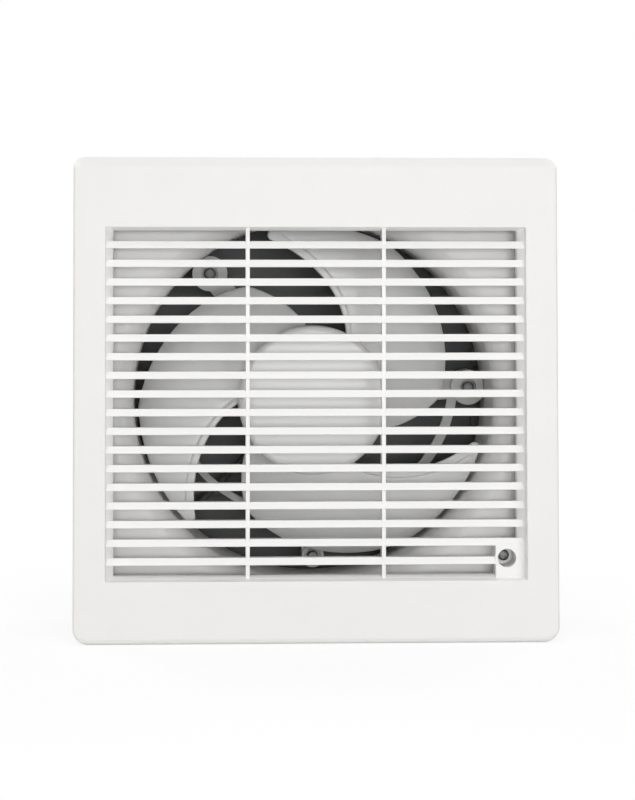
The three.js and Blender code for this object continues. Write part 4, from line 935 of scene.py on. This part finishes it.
def flange_and_bell(h):
    """Flange, bell-mouth and throat as one skin, from the square outline to the round throat."""
    lo, hi = box_of("base_housing")
    half_x, mid_z, thick, corner = hi.x, (hi.z + lo.z) / 2, h.flange, 0.006
    outline = rounded_rectangle(half_x * 2, hi.z - lo.z, corner, middle_z=mid_z, straight=36, corner=6)
    rim, outer, edge, halfway, steps = h.throat + h.bell, h.throat + thick, 0.0008, 0.04, 12
    angles = [math.atan2(p.y, p.x) for p in outline]

    def flat(inset, y):
        return [Vector((p.x * (1 - inset / half_x), y, mid_z + (p.y - mid_z) * (1 - inset / half_x)))
                for p in outline]

    def circle(radius, y):
        return [Vector((radius * math.cos(a), y, radius * math.sin(a))) for a in angles]

    def curve(radius, order):
        return [circle(rim - radius * math.sin(a), h.bell - thick - radius * math.cos(a))
                for a in (math.pi / 2 * k / steps for k in order)]

    return loops_to_mesh([
        flat(0, 0), flat(0, edge - thick), flat(edge, -thick), circle(rim + 0.004, -thick),
        *curve(h.bell, range(steps + 1)), circle(h.throat, halfway), circle(h.throat, h.throat_end - edge),
        circle(h.throat + edge, h.throat_end), circle(outer - edge, h.throat_end),
        circle(outer, h.throat_end - edge), *curve(h.bell - thick, range(steps, -1, -1))])


def housing_mesh(h):
    """The moulding with its box, bosses, hook ears and the stands for the shutter's screws."""
    lo, hi = box_of("base_housing")
    outer, inner, end = h.box / 2, h.box / 2 - h.box_wall, hi.y
    front, edge, hole_inset, well = -h.flange / 2, 0.0005, 0.008, middle("panel_screw")
    holes = [rod(0.0025, -0.01, 0.005, x * (hi.x - hole_inset), z, sides=32)
             for x in (-1, 1) for z in (hi.z - hole_inset, lo.z + hole_inset)]
    holes.append(rod(0.0026, -0.01, 0.02, well.x, well.z, sides=32))
    box = box_loops([(outer, outer, 0.01, front), (outer, outer, 0.01, end - edge),
                     (outer - edge, outer - edge, 0.0095, end), (inner + edge, inner + edge, 0.008, end),
                     (inner, inner, 0.0075, end - edge), (inner, inner, 0.0075, front)])
    cable, past = middle("cable_grommet"), 0.01
    parts = [drilled(flange_and_bell(h), holes),
             drilled(box, [rod(0.006, -outer - past, -inner + past, cable.y, cable.z, axis="X")])]
    boss_ys = high("motor_bracket").y + 0.0003, h.throat_end
    parts += [sleeve(0.0021, radius, boss_ys, (0.0004, 0.0008, 0.0006, 0.0004), 64, (x, 0, z))
              for x, z, radius in arm_places(h)]
    parts.append(sleeve(0.0026, 0.006, (front, 0.012), (0, 0, 0.0006, 0.0004), 40, (well.x, 0, well.z)))
    thick, tall, ear_front = 0.002, 0.0078, -0.0093
    for x in (side * HOOK_X + beside for side in (-1, 1) for beside in (-0.006, 0.006)):
        ear = brick((x - thick, x + thick), (ear_front, front), (HOOK_Z - tall, HOOK_Z), 0.0004)
        hook = rod(0.0023, x - thick * 2, x + thick * 2, HOOK_Y, HOOK_Z, axis="X", sides=32)
        parts.append(drilled(ear, [hook]))
    half, tall, deep = 0.005, 0.013, 0.012
    for screw in (middle(f"shutter_screw_{i}") for i in range(1, 5)):
        zs = sorted(math.copysign(z, screw.z) for z in (outer - tall, outer - h.box_wall / 2))
        stand = brick((screw.x - half, screw.x + half), (end - deep, end), zs, 0.0005)
        parts.append(drilled(stand, [rod(0.0018, end - 0.02, end + past, screw.x, screw.z, sides=24)]))
    return merged(*parts)


def brace(end_degrees, growth, most, half, front, back):
    """A flat strip whose radius grows from the lower arm round to another arm."""
    def edge(margin):
        points = []
        for k in range(41):
            turn = (end_degrees - ARM_DEGREES[2]) * k / 40
            radius = min(BRACE_ROOT + growth * abs(turn), most) + margin
            a = math.radians(ARM_DEGREES[2] + turn)
            points.append((radius * math.cos(a), radius * math.sin(a)))
        return points
    return prism(edge(half) + edge(-half)[::-1], front + 0.0002, back - 0.0002)


def bracket_mesh(h):
    """One plate with arms, bosses and braces, cut round to fit the throat."""
    boss_front, back = reach("motor_bracket")
    front, deep, far = boss_front + 0.003, boss_front + h.seat_depth, 0.1
    plate_radius, motor_hole, shank_hole, bolt_hole = 0.046, 0.024, 0.0023, 0.0019
    parts = []
    for angle in ARM_DEGREES:
        arm = brick((0, h.arm_reach), (front, back), (-h.arm_width / 2, h.arm_width / 2))
        arm.transform(Matrix.Rotation(-math.radians(angle), 4, "Y"))
        parts.append(arm)
    parts += [rod(radius, boss_front, back, x, z, sides=64) for x, z, radius in arm_places(h)]
    parts += [brace(*end, front, back) for end in BRACES]
    plate = combined(rod(plate_radius, front, back, sides=96), parts, "UNION")
    plate = combined(plate, [rod(h.throat - 0.0006, 0, far, sides=192)], "INTERSECT")
    cuts = [rod(motor_hole, 0, far, sides=96)]
    for x, z, _ in arm_places(h):
        cuts += [rod(h.seat, 0, deep, x, z, sides=48), rod(shank_hole, 0, far, x, z, sides=32)]
    bolts = [middle(f"motor_bolt_{i}") for i in range(1, 5)]
    cuts += [rod(bolt_hole, 0, far, bolt.x, bolt.z, sides=24) for bolt in bolts]
    pads = [sleeve(shank_hole, 0.004, (boss_front, deep + 0.0003), (0.0002, 0.0003, 0, 0), 40, (x, 0, z))
            for x, z, _ in arm_places(h)]
    return merged(softened(drilled(plate, cuts), 0.0007), *pads)


class FAN_OT_housing(bpy.types.Operator):
    """Build the housing with its flange, bell-mouth and box"""
    bl_idname = "fan.housing"
    bl_label = "Housing"

    def execute(self, context):
        put("base_housing", housing_mesh(context.scene.fan_housing), "housing_white", "housing", sharp=40)
        return {"FINISHED"}


class FAN_OT_bracket(bpy.types.Operator):
    """Build the motor bracket with its arms and braces"""
    bl_idname = "fan.motor_bracket"
    bl_label = "Motor bracket"

    def execute(self, context):
        put("motor_bracket", bracket_mesh(context.scene.fan_housing), "bracket_white", "housing", sharp=40)
        return {"FINISHED"}


# ---------------------------------------------------------------- motor

SHEET_PITCH = 0.0005


def lamination_mesh(inner, outer, start, end):
    """A stack of thin sheets round the fan axis."""
    t = Tree("Laminations")
    pitch = t.size("Sheet pitch", SHEET_PITCH)
    ring = t.node("GeometryNodeCurvePrimitiveCircle",
                  {"Resolution": 96, "Radius": t.size("Middle radius", (inner + outer) / 2)})[0]
    sheet = t.node("GeometryNodeCurvePrimitiveQuadrilateral",
                   {"Width": t.size("Sheet width", outer - inner), "Height": t.times(pitch, 0.86)})[0]
    one = t.node("GeometryNodeCurveToMesh", {"Curve": ring, "Profile Curve": sheet})[0]
    upright = t.node("GeometryNodeTransform", {"Geometry": one, "Rotation": TO_ROOM})[0]
    count = t.size("Sheets", int((end - start) / SHEET_PITCH), "NodeSocketInt")
    first = t.vector(y=t.size("First sheet", start + SHEET_PITCH / 2))
    places = t.node("GeometryNodeMeshLine", {"Count": count, "Offset": t.vector(y=pitch),
                                             "Start Location": first})[0]
    return t.result(t.node("GeometryNodeInstanceOnPoints", {"Points": places, "Instance": upright})[0],
                    "laminated_steel")


def winding_mesh(node, radius):
    """A ring of wire as deep as its node."""
    outside, (start, end) = high(node).x - radius, reach(node)
    turns = (TAU * k / 20 for k in range(20))
    return turned([(outside + radius * math.cos(a), (start + end) / 2 + (end - start) / 2 * math.sin(a), 0)
                   for a in turns])


class FAN_OT_motor(bpy.types.Operator):
    """Build the motor's shells, damper, bushes, stator and windings"""
    bl_idname = "fan.motor"
    bl_label = "Motor"

    def execute(self, context):
        m = context.scene.fan_motor
        bore, collar, outside, inside, sheet = m.collar_bore, m.collar, m.shell, m.shell - m.sheet, m.sheet
        start, end = reach("motor_front_shell")
        front_shell = turned([
            (bore, start, 0.0004), (collar, start, 0.0006), (collar, m.front, 0.0008),
            (outside, m.front, 0.003), (outside, end, 0.0003), (inside, end, 0.0003),
            (inside, m.front + sheet, 0.0015), (bore, m.front + sheet, 0.0004)])
        start, end = reach("motor_rear_shell")
        collar_front, bead = end - 0.008, end - 0.0009
        rear_shell = turned([
            (bore, collar_front, 0.0004), (collar, collar_front, 0.0006), (collar, end - sheet, 0.0006),
            (inside, end - sheet, 0.001), (inside, start, 0.0003), (outside, start, 0.0003),
            (outside, end, 0.003), (0.016, end, 0.0008), (0.0145, bead, 0.0008), (0.0115, bead, 0.0006),
            (0.0105, end, 0.0006), (bore, end, 0.0004)])
        damper = sleeve(m.damper_bore, m.damper, reach("motor_damper"), (0.0004, 0.0008, 0.0008, 0.0004))
        pieces = [("motor_front_shell", "pressed_steel", front_shell),
                  ("motor_rear_shell", "pressed_steel", rear_shell), ("motor_damper", "black_rubber", damper)]
        for node in ("front_bush", "rear_bush"):
            rounds = (0.0004, 0.0005, 0.0005, 0.0004)
            pieces.append((node, "bronze_bush", sleeve(m.shaft_bore, m.bush, reach(node), rounds, 64)))
        pieces.append(("stator_core", "laminated_steel",
                       lamination_mesh(m.stator_bore, m.stator, *reach("stator_core"))))
        for node in ("front_winding", "rear_winding"):
            pieces.append((node, "copper_wire", winding_mesh(node, m.winding)))
        for node, finish, mesh in pieces:
            put(node, mesh, finish, "housing")
        return {"FINISHED"}


# ---------------------------------------------------------------- impeller

# The blade's edges in degrees at the hub, and their sweep to the tip.
LEAD_ROOT, TRAIL_ROOT, SWEEP = 62.5, -27.0, 47.0
# The trailing edge's large rounding: degrees, the share of the length where it starts, and its power.
CURL, CURL_START, CURL_POWER = 108.3, 0.56, 1.14
# Width of a blade's rounded edges, and the rows of points in them.
EDGE, EDGE_ROWS = 0.0013, (0, 0.0002, 0.0005, 0.0009)


def trailing_edge(share):
    """Degrees at a share of the blade's length."""
    return TRAIL_ROOT + SWEEP * share + CURL * max(0.0, share - CURL_START) ** CURL_POWER


def blade_mesh(p, turn):
    """One swept blade with a rounded leading tip, and a raised band along its concave leading edge."""
    root, tip = p.hub - 0.0011, p.radius
    side, groove_middle, groove_half, tip_fade, hub_fade = 0.0008, 0.0006, 0.00045, 0.15, 0.05
    span = tip - root
    slope = math.atan(tip * math.radians(SWEEP) / span)
    half_corner = (math.pi / 2 - slope) / 2
    back_off = p.tip_round / math.tan(half_corner)
    centre_degrees = LEAD_ROOT + SWEEP - math.degrees(back_off / tip)
    centre_radius = tip - p.tip_round
    tangent = tip - back_off * math.cos(slope)
    inner_rows, tip_rows, middle_points = 30, 16, 22
    rows = [root + (tangent - root) * k / inner_rows for k in range(inner_rows)]
    rows += [tangent + (tip - tangent) * math.sin(math.pi / 2 * k / tip_rows) for k in range(tip_rows + 1)]

    def lead(r):
        if r <= tangent:
            return LEAD_ROOT + SWEEP * (r - root) / span
        c = (r * r + centre_radius ** 2 - p.tip_round ** 2) / (2 * r * centre_radius)
        return centre_degrees + math.degrees(math.acos(min(1.0, c)))

    def edge_share(d, soft=EDGE):
        """Share of the full thickness at a distance from an edge."""
        return math.sqrt(max(0.0, 1 - (1 - min(d / soft, 1)) ** 2))

    front, rear = [], []
    for r in rows:
        share = (r - root) / span
        start, end = lead(r), trailing_edge(share)
        full = LEAD_ROOT + SWEEP * share
        lean = math.cos(math.atan(r * math.radians(SWEEP) / span))
        width = math.radians(start - end) * r * lean
        band = p.band_root + (p.band - p.band_root) * share
        # Points across the blade lie closest at its edges and beside the band.
        near = [*EDGE_ROWS, EDGE, 0.002]
        near += [band + beside for beside in (-0.0012, -0.0008, -0.0004, 0, 0.0003, 0.0006, 0.0009, 0.0013)]
        last = near[-1]
        rest = (width - EDGE - last) / middle_points
        distances = near + [last + rest * k for k in range(1, middle_points + 1)]
        distances += [width - d for d in EDGE_ROWS[::-1]]
        front_row, rear_row = [], []
        for d in distances:
            a = start - (start - end) * d / width
            u = (full - a) / (full - end)
            y_lead = p.lead_root + (p.lead_tip - p.lead_root) * share
            y_trail = p.trail_root + (p.trail_tip - p.trail_root) * share
            y = y_lead + (y_trail - y_lead) * u - p.dish * math.sin(math.pi * min(u, 1))
            half = p.thickness / 2 * edge_share(d) * edge_share(width - d) * edge_share(tip - r)
            fall = min(max((d - band + side) / side, 0), 1)
            ridge = p.band_height * (1 - fall * fall * (3 - 2 * fall)) * edge_share(d, 0.0009)
            groove = math.exp(-((d - band - groove_middle) / groove_half) ** 2)
            ridge -= p.groove * groove * min(1, (1 - share) / tip_fade)
            ridge *= edge_share(tip - r, 0.002) * min(share / hub_fade, 1)
            c, s = math.cos(math.radians(a + turn)), math.sin(math.radians(a + turn))
            front_row.append((r * c, y - half - ridge * (half / (p.thickness / 2)), r * s))
            rear_row.append((r * c, y + half, r * s))
        front.append(front_row)
        rear.append(rear_row)
    bm = bmesh.new()
    front, rear = ([[bm.verts.new(q) for q in row] for row in side] for side in (front, rear))
    for a, b, c, d in zip(front, front[1:], rear, rear[1:]):
        for i in range(len(a) - 1):
            bm.faces.new((a[i], a[i + 1], b[i + 1], b[i]))
            bm.faces.new((c[i], d[i], d[i + 1], c[i + 1]))
        bm.faces.new((a[0], b[0], d[0], c[0]))
        bm.faces.new((a[-1], c[-1], d[-1], b[-1]))
    for a, c in ((front[0], rear[0]), (front[-1], rear[-1])):
        for i in range(len(a) - 1):
            bm.faces.new((a[i], c[i], c[i + 1], a[i + 1]))
    return mesh_of(bm)


class FAN_OT_impeller(bpy.types.Operator):
    """Build the impeller, its cap, the shaft with its nut, washer and pin, and the rotor"""
    bl_idname = "fan.impeller"
    bl_label = "Impeller"

    def execute(self, context):
        p, bore = context.scene.fan_impeller, context.scene.fan_motor.shaft_bore
        hub, wall, rim_front, rim_end = p.hub, 0.0022, 0.0183, 0.045
        boss, web, boss_front, boss_end = 0.011, 0.024, 0.023, 0.048
        ring = turned([
            (hub - wall, rim_front, 0.0003), (hub, rim_front, 0.0005), (hub, rim_end, 0.0006),
            (hub - wall, rim_end, 0.0006), (hub - wall, web + wall, 0.001), (boss, web + wall, 0.001),
            (boss, boss_end, 0.0006), (bore, boss_end, 0.0004), (bore, boss_front, 0.0004),
            (boss, boss_front, 0.0004), (boss, web, 0.0002), (hub - wall, web, 0.001)], 120)
        blades = [blade_mesh(p, i * 360 / p.blades) for i in range(p.blades)]
        front, seam, skirt_end, skirt, skirt_bore = low("hub_cap").y, 0.018, 0.023, 0.0515, 0.0493
        edge_front = front + p.cap_dome
        crown = [(r * MM, front + p.cap_dome * (r / 48) ** 2, 0) for r in (0, 8, 16, 24, 32, 39)]
        cap = turned(crown + [
            (hub, edge_front, p.cap_edge), (hub, seam, 0.0003), (skirt, seam, 0), (skirt, skirt_end, 0.0004),
            (skirt_bore, skirt_end, 0.0004), (skirt_bore, edge_front + wall, 0.003), (0, front + wall, 0)],
            120, 10)
        washer = sleeve(bore, 0.009, reach("shaft_washer"), (0.0001, 0.0003, 0.0003, 0.0001))
        start, end = reach("shaft_nut")
        corners = [(0.0075 * math.cos(TAU * k / 6), 0.0075 * math.sin(TAU * k / 6)) for k in range(6)]
        nut = drilled(prism(corners, start, end, 0.0004), [rod(bore, start - 0.01, end + 0.01)])
        shaft = rod(context.scene.fan_motor.shaft, *reach("shaft"), sides=64, chamfer=0.0006)
        pin = rod(0.0015, low("drive_pin").z, high("drive_pin").z, sides=32, chamfer=0.0003)
        pin.transform(Matrix.Rotation(math.pi / 2, 4, "X"))
        rotor = lamination_mesh(bore, context.scene.fan_motor.rotor, *reach("rotor"))
        for node, mesh, finish, sharp in (
                ("impeller", merged(ring, *blades), "impeller_white", 50),
                ("hub_cap", cap, "impeller_white", 50),
                ("shaft_washer", washer, "zinc_steel", 32), ("shaft_nut", nut, "zinc_steel", 32),
                ("shaft", shaft, "ground_steel", 32),
                ("drive_pin", moved(pin, y=middle("drive_pin").y), "ground_steel", 32),
                ("rotor", rotor, "laminated_steel", 32)):
            put(node, mesh, finish, "impeller", sharp=sharp)
        return {"FINISHED"}


# ---------------------------------------------------------------- rear shutter

def flap_mesh(p, node, pivot_y, pivot_z):
    """A flap with two stiffening ribs and a lip along its lower edge, on its outdoor face."""
    face, lower, sunk = p.flap / 2, p.pitch + 0.0021, 0.0002
    rows = [(share * p.pitch, p.rib, p.rib_height) for share in (0.35, 0.68)]
    rows.append((lower - p.rib, p.rib * 2, p.lip_height))
    ribs = [brick((-p.rib_reach, p.rib_reach), (face - sunk, face + height), (-z - wide / 2, wide / 2 - z),
                  0.0003) for z, wide, height in rows]
    for rib in ribs:
        rib.transform(Matrix.Rotation(p.lean, 4, "X"))
        moved(rib, y=pivot_y, z=pivot_z)
    return merged(softened(node_copy(node), 0.0003, segments=2), *ribs)


class FAN_OT_shutter(bpy.types.Operator):
    """Build the rear shutter's frame, flaps and link bar"""
    bl_idname = "fan.shutter"
    bl_label = "Rear shutter"

    def execute(self, context):
        p = context.scene.fan_shutter
        lo, hi = box_of("shutter_frame")
        outer, e, start, end = hi.x, p.edge, lo.y, hi.y
        inner, ledge, ledge_end, bend = outer - p.wall, outer - p.ledge, start + 0.003, 0.0004
        shell = box_loops([(half, half, half - outer + corner, y) for half, corner, y in (
            (outer, p.corner, start + e), (outer, p.corner, end - e), (outer - e, p.corner, end),
            (inner + e, p.corner, end), (inner, p.corner, end - e), (inner, p.corner, ledge_end + bend),
            (inner - bend, p.corner, ledge_end), (ledge + e, 0.016, ledge_end), (ledge, 0.016, ledge_end - e),
            (ledge, 0.016, start + e), (ledge + e, 0.016, start), (outer - e, p.corner, start))])
        pivots = [p.top - p.pitch * i for i in range(5)]
        bores = [rod(0.0023, -0.15, 0.15, start + p.pivot, z, axis="X", sides=24) for z in pivots]
        for screw in (middle(f"shutter_screw_{i}") for i in range(1, 5)):
            bores.append(rod(0.002, start - 0.01, start + 0.01, screw.x, screw.z, sides=24))
        # The tabs close the light leaks at the notches of the lower four flaps.
        into, out = 0.001, 0.005
        tabs = [brick(xs, (start, ledge_end), (z - 0.004, z + 0.01), e) for z in pivots[1:]
                for xs in ((-ledge - into, out - ledge), (ledge - out, ledge + into))]
        put("shutter_frame", merged(drilled(shell, bores), *tabs), "shutter_grey", "housing", sharp=40)
        for i, z in enumerate(pivots, 1):
            node = f"shutter_flap_{i}"
            put(node, flap_mesh(p, node, start + p.pivot, z), "shutter_grey", f"flap_{i}", sharp=35)
        link = softened(node_copy("shutter_link"), 0.0004, segments=2)
        put("shutter_link", link, "black_plastic", "link", sharp=35)
        return {"FINISHED"}


# ---------------------------------------------------------------- wiring


def tube_along(points, radius):
    """A round tube through points in one smooth line, closed at both ends."""
    curve = bpy.data.curves.new("route", "CURVE")
    curve.dimensions, curve.bevel_depth, curve.bevel_resolution = "3D", radius, 5
    curve.use_fill_caps = True
    curve.resolution_u = 10
    spline = curve.splines.new("BEZIER")
    spline.bezier_points.add(len(points) - 1)
    for point, place in zip(spline.bezier_points, points):
        point.co = place
        point.handle_left_type = point.handle_right_type = "AUTO"
    return mesh_of(bmesh_of(evaluated(linked("route", curve))))


class FAN_OT_wiring(bpy.types.Operator):
    """Build the capacitor, the terminal block, the motor lead and the cable grommet"""
    bl_idname = "fan.wiring"
    bl_label = "Wiring"

    def execute(self, context):
        limits = list(zip(*box_of("capacitor")))
        put("capacitor", brick(*limits, 0.0012, 4), "black_plastic", "housing")
        for node, width, finish in (("capacitor_strap", 0.0003, "zinc_steel"),
                                    ("terminal_block", 0.0005, "housing_white"),
                                    ("terminal_cover", 0.0008, "black_plastic")):
            put(node, softened(node_copy(node), width), finish, "housing")
        # Distance from the axis and depth: out along the diagonal, then forward in the box's corner.
        pocket, y, diagonal = 0.117 * math.sqrt(2), high("motor_rear_shell").y - 0.00475, math.sqrt(0.5)
        route = [(0.0423, y), (0.059, y), (0.125, y), (pocket - 0.013, y - 0.009),
                 (pocket - 0.003, y - 0.026), (pocket, y - 0.048), (pocket, 0.0136)]
        lead = tube_along([(-r * diagonal, y, -r * diagonal) for r, y in route], 0.0026)
        put("motor_lead", lead, "grey_sheath", "housing")
        hole, lip, waist = 0.0038, 0.008, 0.0057
        ring = turned([(hole, -0.0028, 0.0006), (lip, -0.0028, 0.001), (lip, -0.0003, 0.0003),
                       (waist, -0.0003, 0.0003), (waist, 0.0028, 0.0003), (lip, 0.0028, 0.0003),
                       (lip, 0.0053, 0.001), (hole, 0.0053, 0.0006)], 48, axis="X")
        place, wall = middle("cable_grommet"), -context.scene.fan_housing.box / 2
        put("cable_grommet", moved(ring, wall, place.y, place.z), "black_rubber", "housing")
        return {"FINISHED"}


# ---------------------------------------------------------------- stage

SOFT_LIGHT = 0.26
# Name, place, size and power of each lamp. All point at the fan axis.
LAMPS = (("front", (0.3, -3.2, 0.15), (1.8, 0.7), 35),
         ("top", (0.0, -0.7, 1.7), (1.4, 1.4), 17),
         ("behind_left", (-2.0, 2.0, 1.2), (1.6, 1.6), 30),
         ("behind_right", (2.0, 2.0, 1.2), (1.6, 1.6), 30))


class FAN_OT_stage(bpy.types.Operator):
    """Set the camera, the light and the floor"""
    bl_idname = "fan.stage"
    bl_label = "Camera, light and floor"

    def execute(self, context):
        scene = context.scene
        scene.view_settings.view_transform = "Standard"
        data = bpy.data.cameras.new("camera")
        scene.camera = camera = linked("camera", data)
        # In the photograph's pixels: size, the eye's distance, where the depth lines meet, centre line.
        wide, tall, distance = 635.0, 800.0, 2060.0
        meeting_x, meeting_y, centre_x = 200.0, 290.0, 277.5
        yaw = math.atan((centre_x - meeting_x) / distance)
        data.sensor_width = 36
        data.lens = distance / math.cos(yaw) / tall * data.sensor_width
        data.shift_x = (wide / 2 - centre_x) / tall
        data.shift_y = -(tall / 2 - meeting_y) / tall
        camera.location = (-0.0816, -1.475, 0.0796)
        camera.rotation_euler = (math.pi / 2, 0, -yaw)
        self.light(scene)
        self.floor()
        return {"FINISHED"}

    def light(self, scene):
        scene.world = world = bpy.data.worlds.new("studio")
        world.use_nodes = True
        tree = world.node_tree
        tree.nodes.clear()
        rays = wired(tree, "ShaderNodeLightPath", {})
        seen = rays["Is Camera Ray"]
        for ray in ("Is Glossy Ray", "Is Transmission Ray"):
            seen = wired(tree, "ShaderNodeMath", {0: seen, 1: rays[ray]}, operation="MAXIMUM")[0]
        soft, white = (wired(tree, "ShaderNodeBackground", {"Color": (1, 1, 1, 1), "Strength": strength})[0]
                       for strength in (SOFT_LIGHT, 1))
        wired(tree, "ShaderNodeOutputWorld",
              {0: wired(tree, "ShaderNodeMixShader", {0: seen, 1: soft, 2: white})[0]})
        for name, place, size, power in LAMPS:
            data = bpy.data.lights.new(name, "AREA")
            data.shape, data.energy = "RECTANGLE", power
            data.size, data.size_y = size
            lamp = linked(name, data)
            lamp.location = place
            lamp.rotation_euler = (-Vector(place)).to_track_quat("-Z", "Y").to_euler()

    def floor(self):
        material, tree, _ = shader_tree("floor", (0.93, 0.93, 0.93), 0.9)
        # White to the camera away from the fan, and near it white with the fan's soft shadow.
        place = wired(tree, "ShaderNodeTexCoord", {})["Object"]
        away = wired(tree, "ShaderNodeVectorMath", {0: place}, operation="LENGTH")["Value"]
        fade = wired(tree, "ShaderNodeMapRange", {"Value": away, "From Min": 0.25, "From Max": 0.8,
                                                  "To Min": 0.82, "To Max": 1.0})["Result"]
        camera = wired(tree, "ShaderNodeLightPath", {})["Is Camera Ray"]
        share = wired(tree, "ShaderNodeMath", {0: camera, 1: fade}, operation="MULTIPLY")[0]
        glow = wired(tree, "ShaderNodeEmission", {"Strength": 1.02})[0]
        base = tree.nodes["Principled BSDF"].outputs[0]
        mix = wired(tree, "ShaderNodeMixShader", {0: share, 1: base, 2: glow})[0]
        tree.links.new(mix, tree.nodes["Material Output"].inputs[0])
        z, reach_out = CAD_BOX[0].z - 0.0002, 6.0
        mesh = bpy.data.meshes.new("floor")
        mesh.from_pydata([(x * reach_out, y * reach_out, z) for x, y in ((-1, -1), (1, -1), (1, 1), (-1, 1))],
                         [], [(0, 1, 2, 3)])
        mesh.materials.append(material)
        linked("floor", mesh)


class FAN_PT_sidebar(bpy.types.Panel):
    """Lists the steps that build the fan"""
    bl_idname = "FAN_PT_sidebar"
    bl_label = "Window exhaust fan"
    bl_space_type = "VIEW_3D"
    bl_region_type = "UI"
    bl_category = "Fan"

    def draw(self, context):
        for step in STEPS:
            self.layout.operator(step.bl_idname, text=step.bl_label)
        for group in GROUPS:
            settings = getattr(context.scene, group)
            box = self.layout.box()
            for key in settings.bl_rna.properties.keys():
                if key not in ("rna_type", "name"):
                    box.prop(settings, key)


STEPS = (FAN_OT_stage, FAN_OT_panel, FAN_OT_screws, FAN_OT_housing, FAN_OT_bracket, FAN_OT_motor,
         FAN_OT_impeller, FAN_OT_shutter, FAN_OT_wiring)
GROUPS = {"fan_panel": FanPanelSizes, "fan_housing": FanHousingSizes, "fan_impeller": FanImpellerSizes,
          "fan_motor": FanMotorSizes, "fan_shutter": FanShutterSizes, "fan_finishes": FanFinishes}


def register():
    for cls in (*GROUPS.values(), *STEPS, FAN_PT_sidebar):
        bpy.utils.register_class(cls)
    for name, group in GROUPS.items():
        setattr(bpy.types.Scene, name, PointerProperty(type=group))


def unregister():
    for name in GROUPS:
        delattr(bpy.types.Scene, name)
    for cls in (FAN_PT_sidebar, *reversed(STEPS), *reversed(list(GROUPS.values()))):
        bpy.utils.unregister_class(cls)


def main():
    register()
    finish_materials()
    for step in STEPS:
        area, name = step.bl_idname.split(".")
        getattr(getattr(bpy.ops, area), name)()


if __name__ == "__main__":
    main()
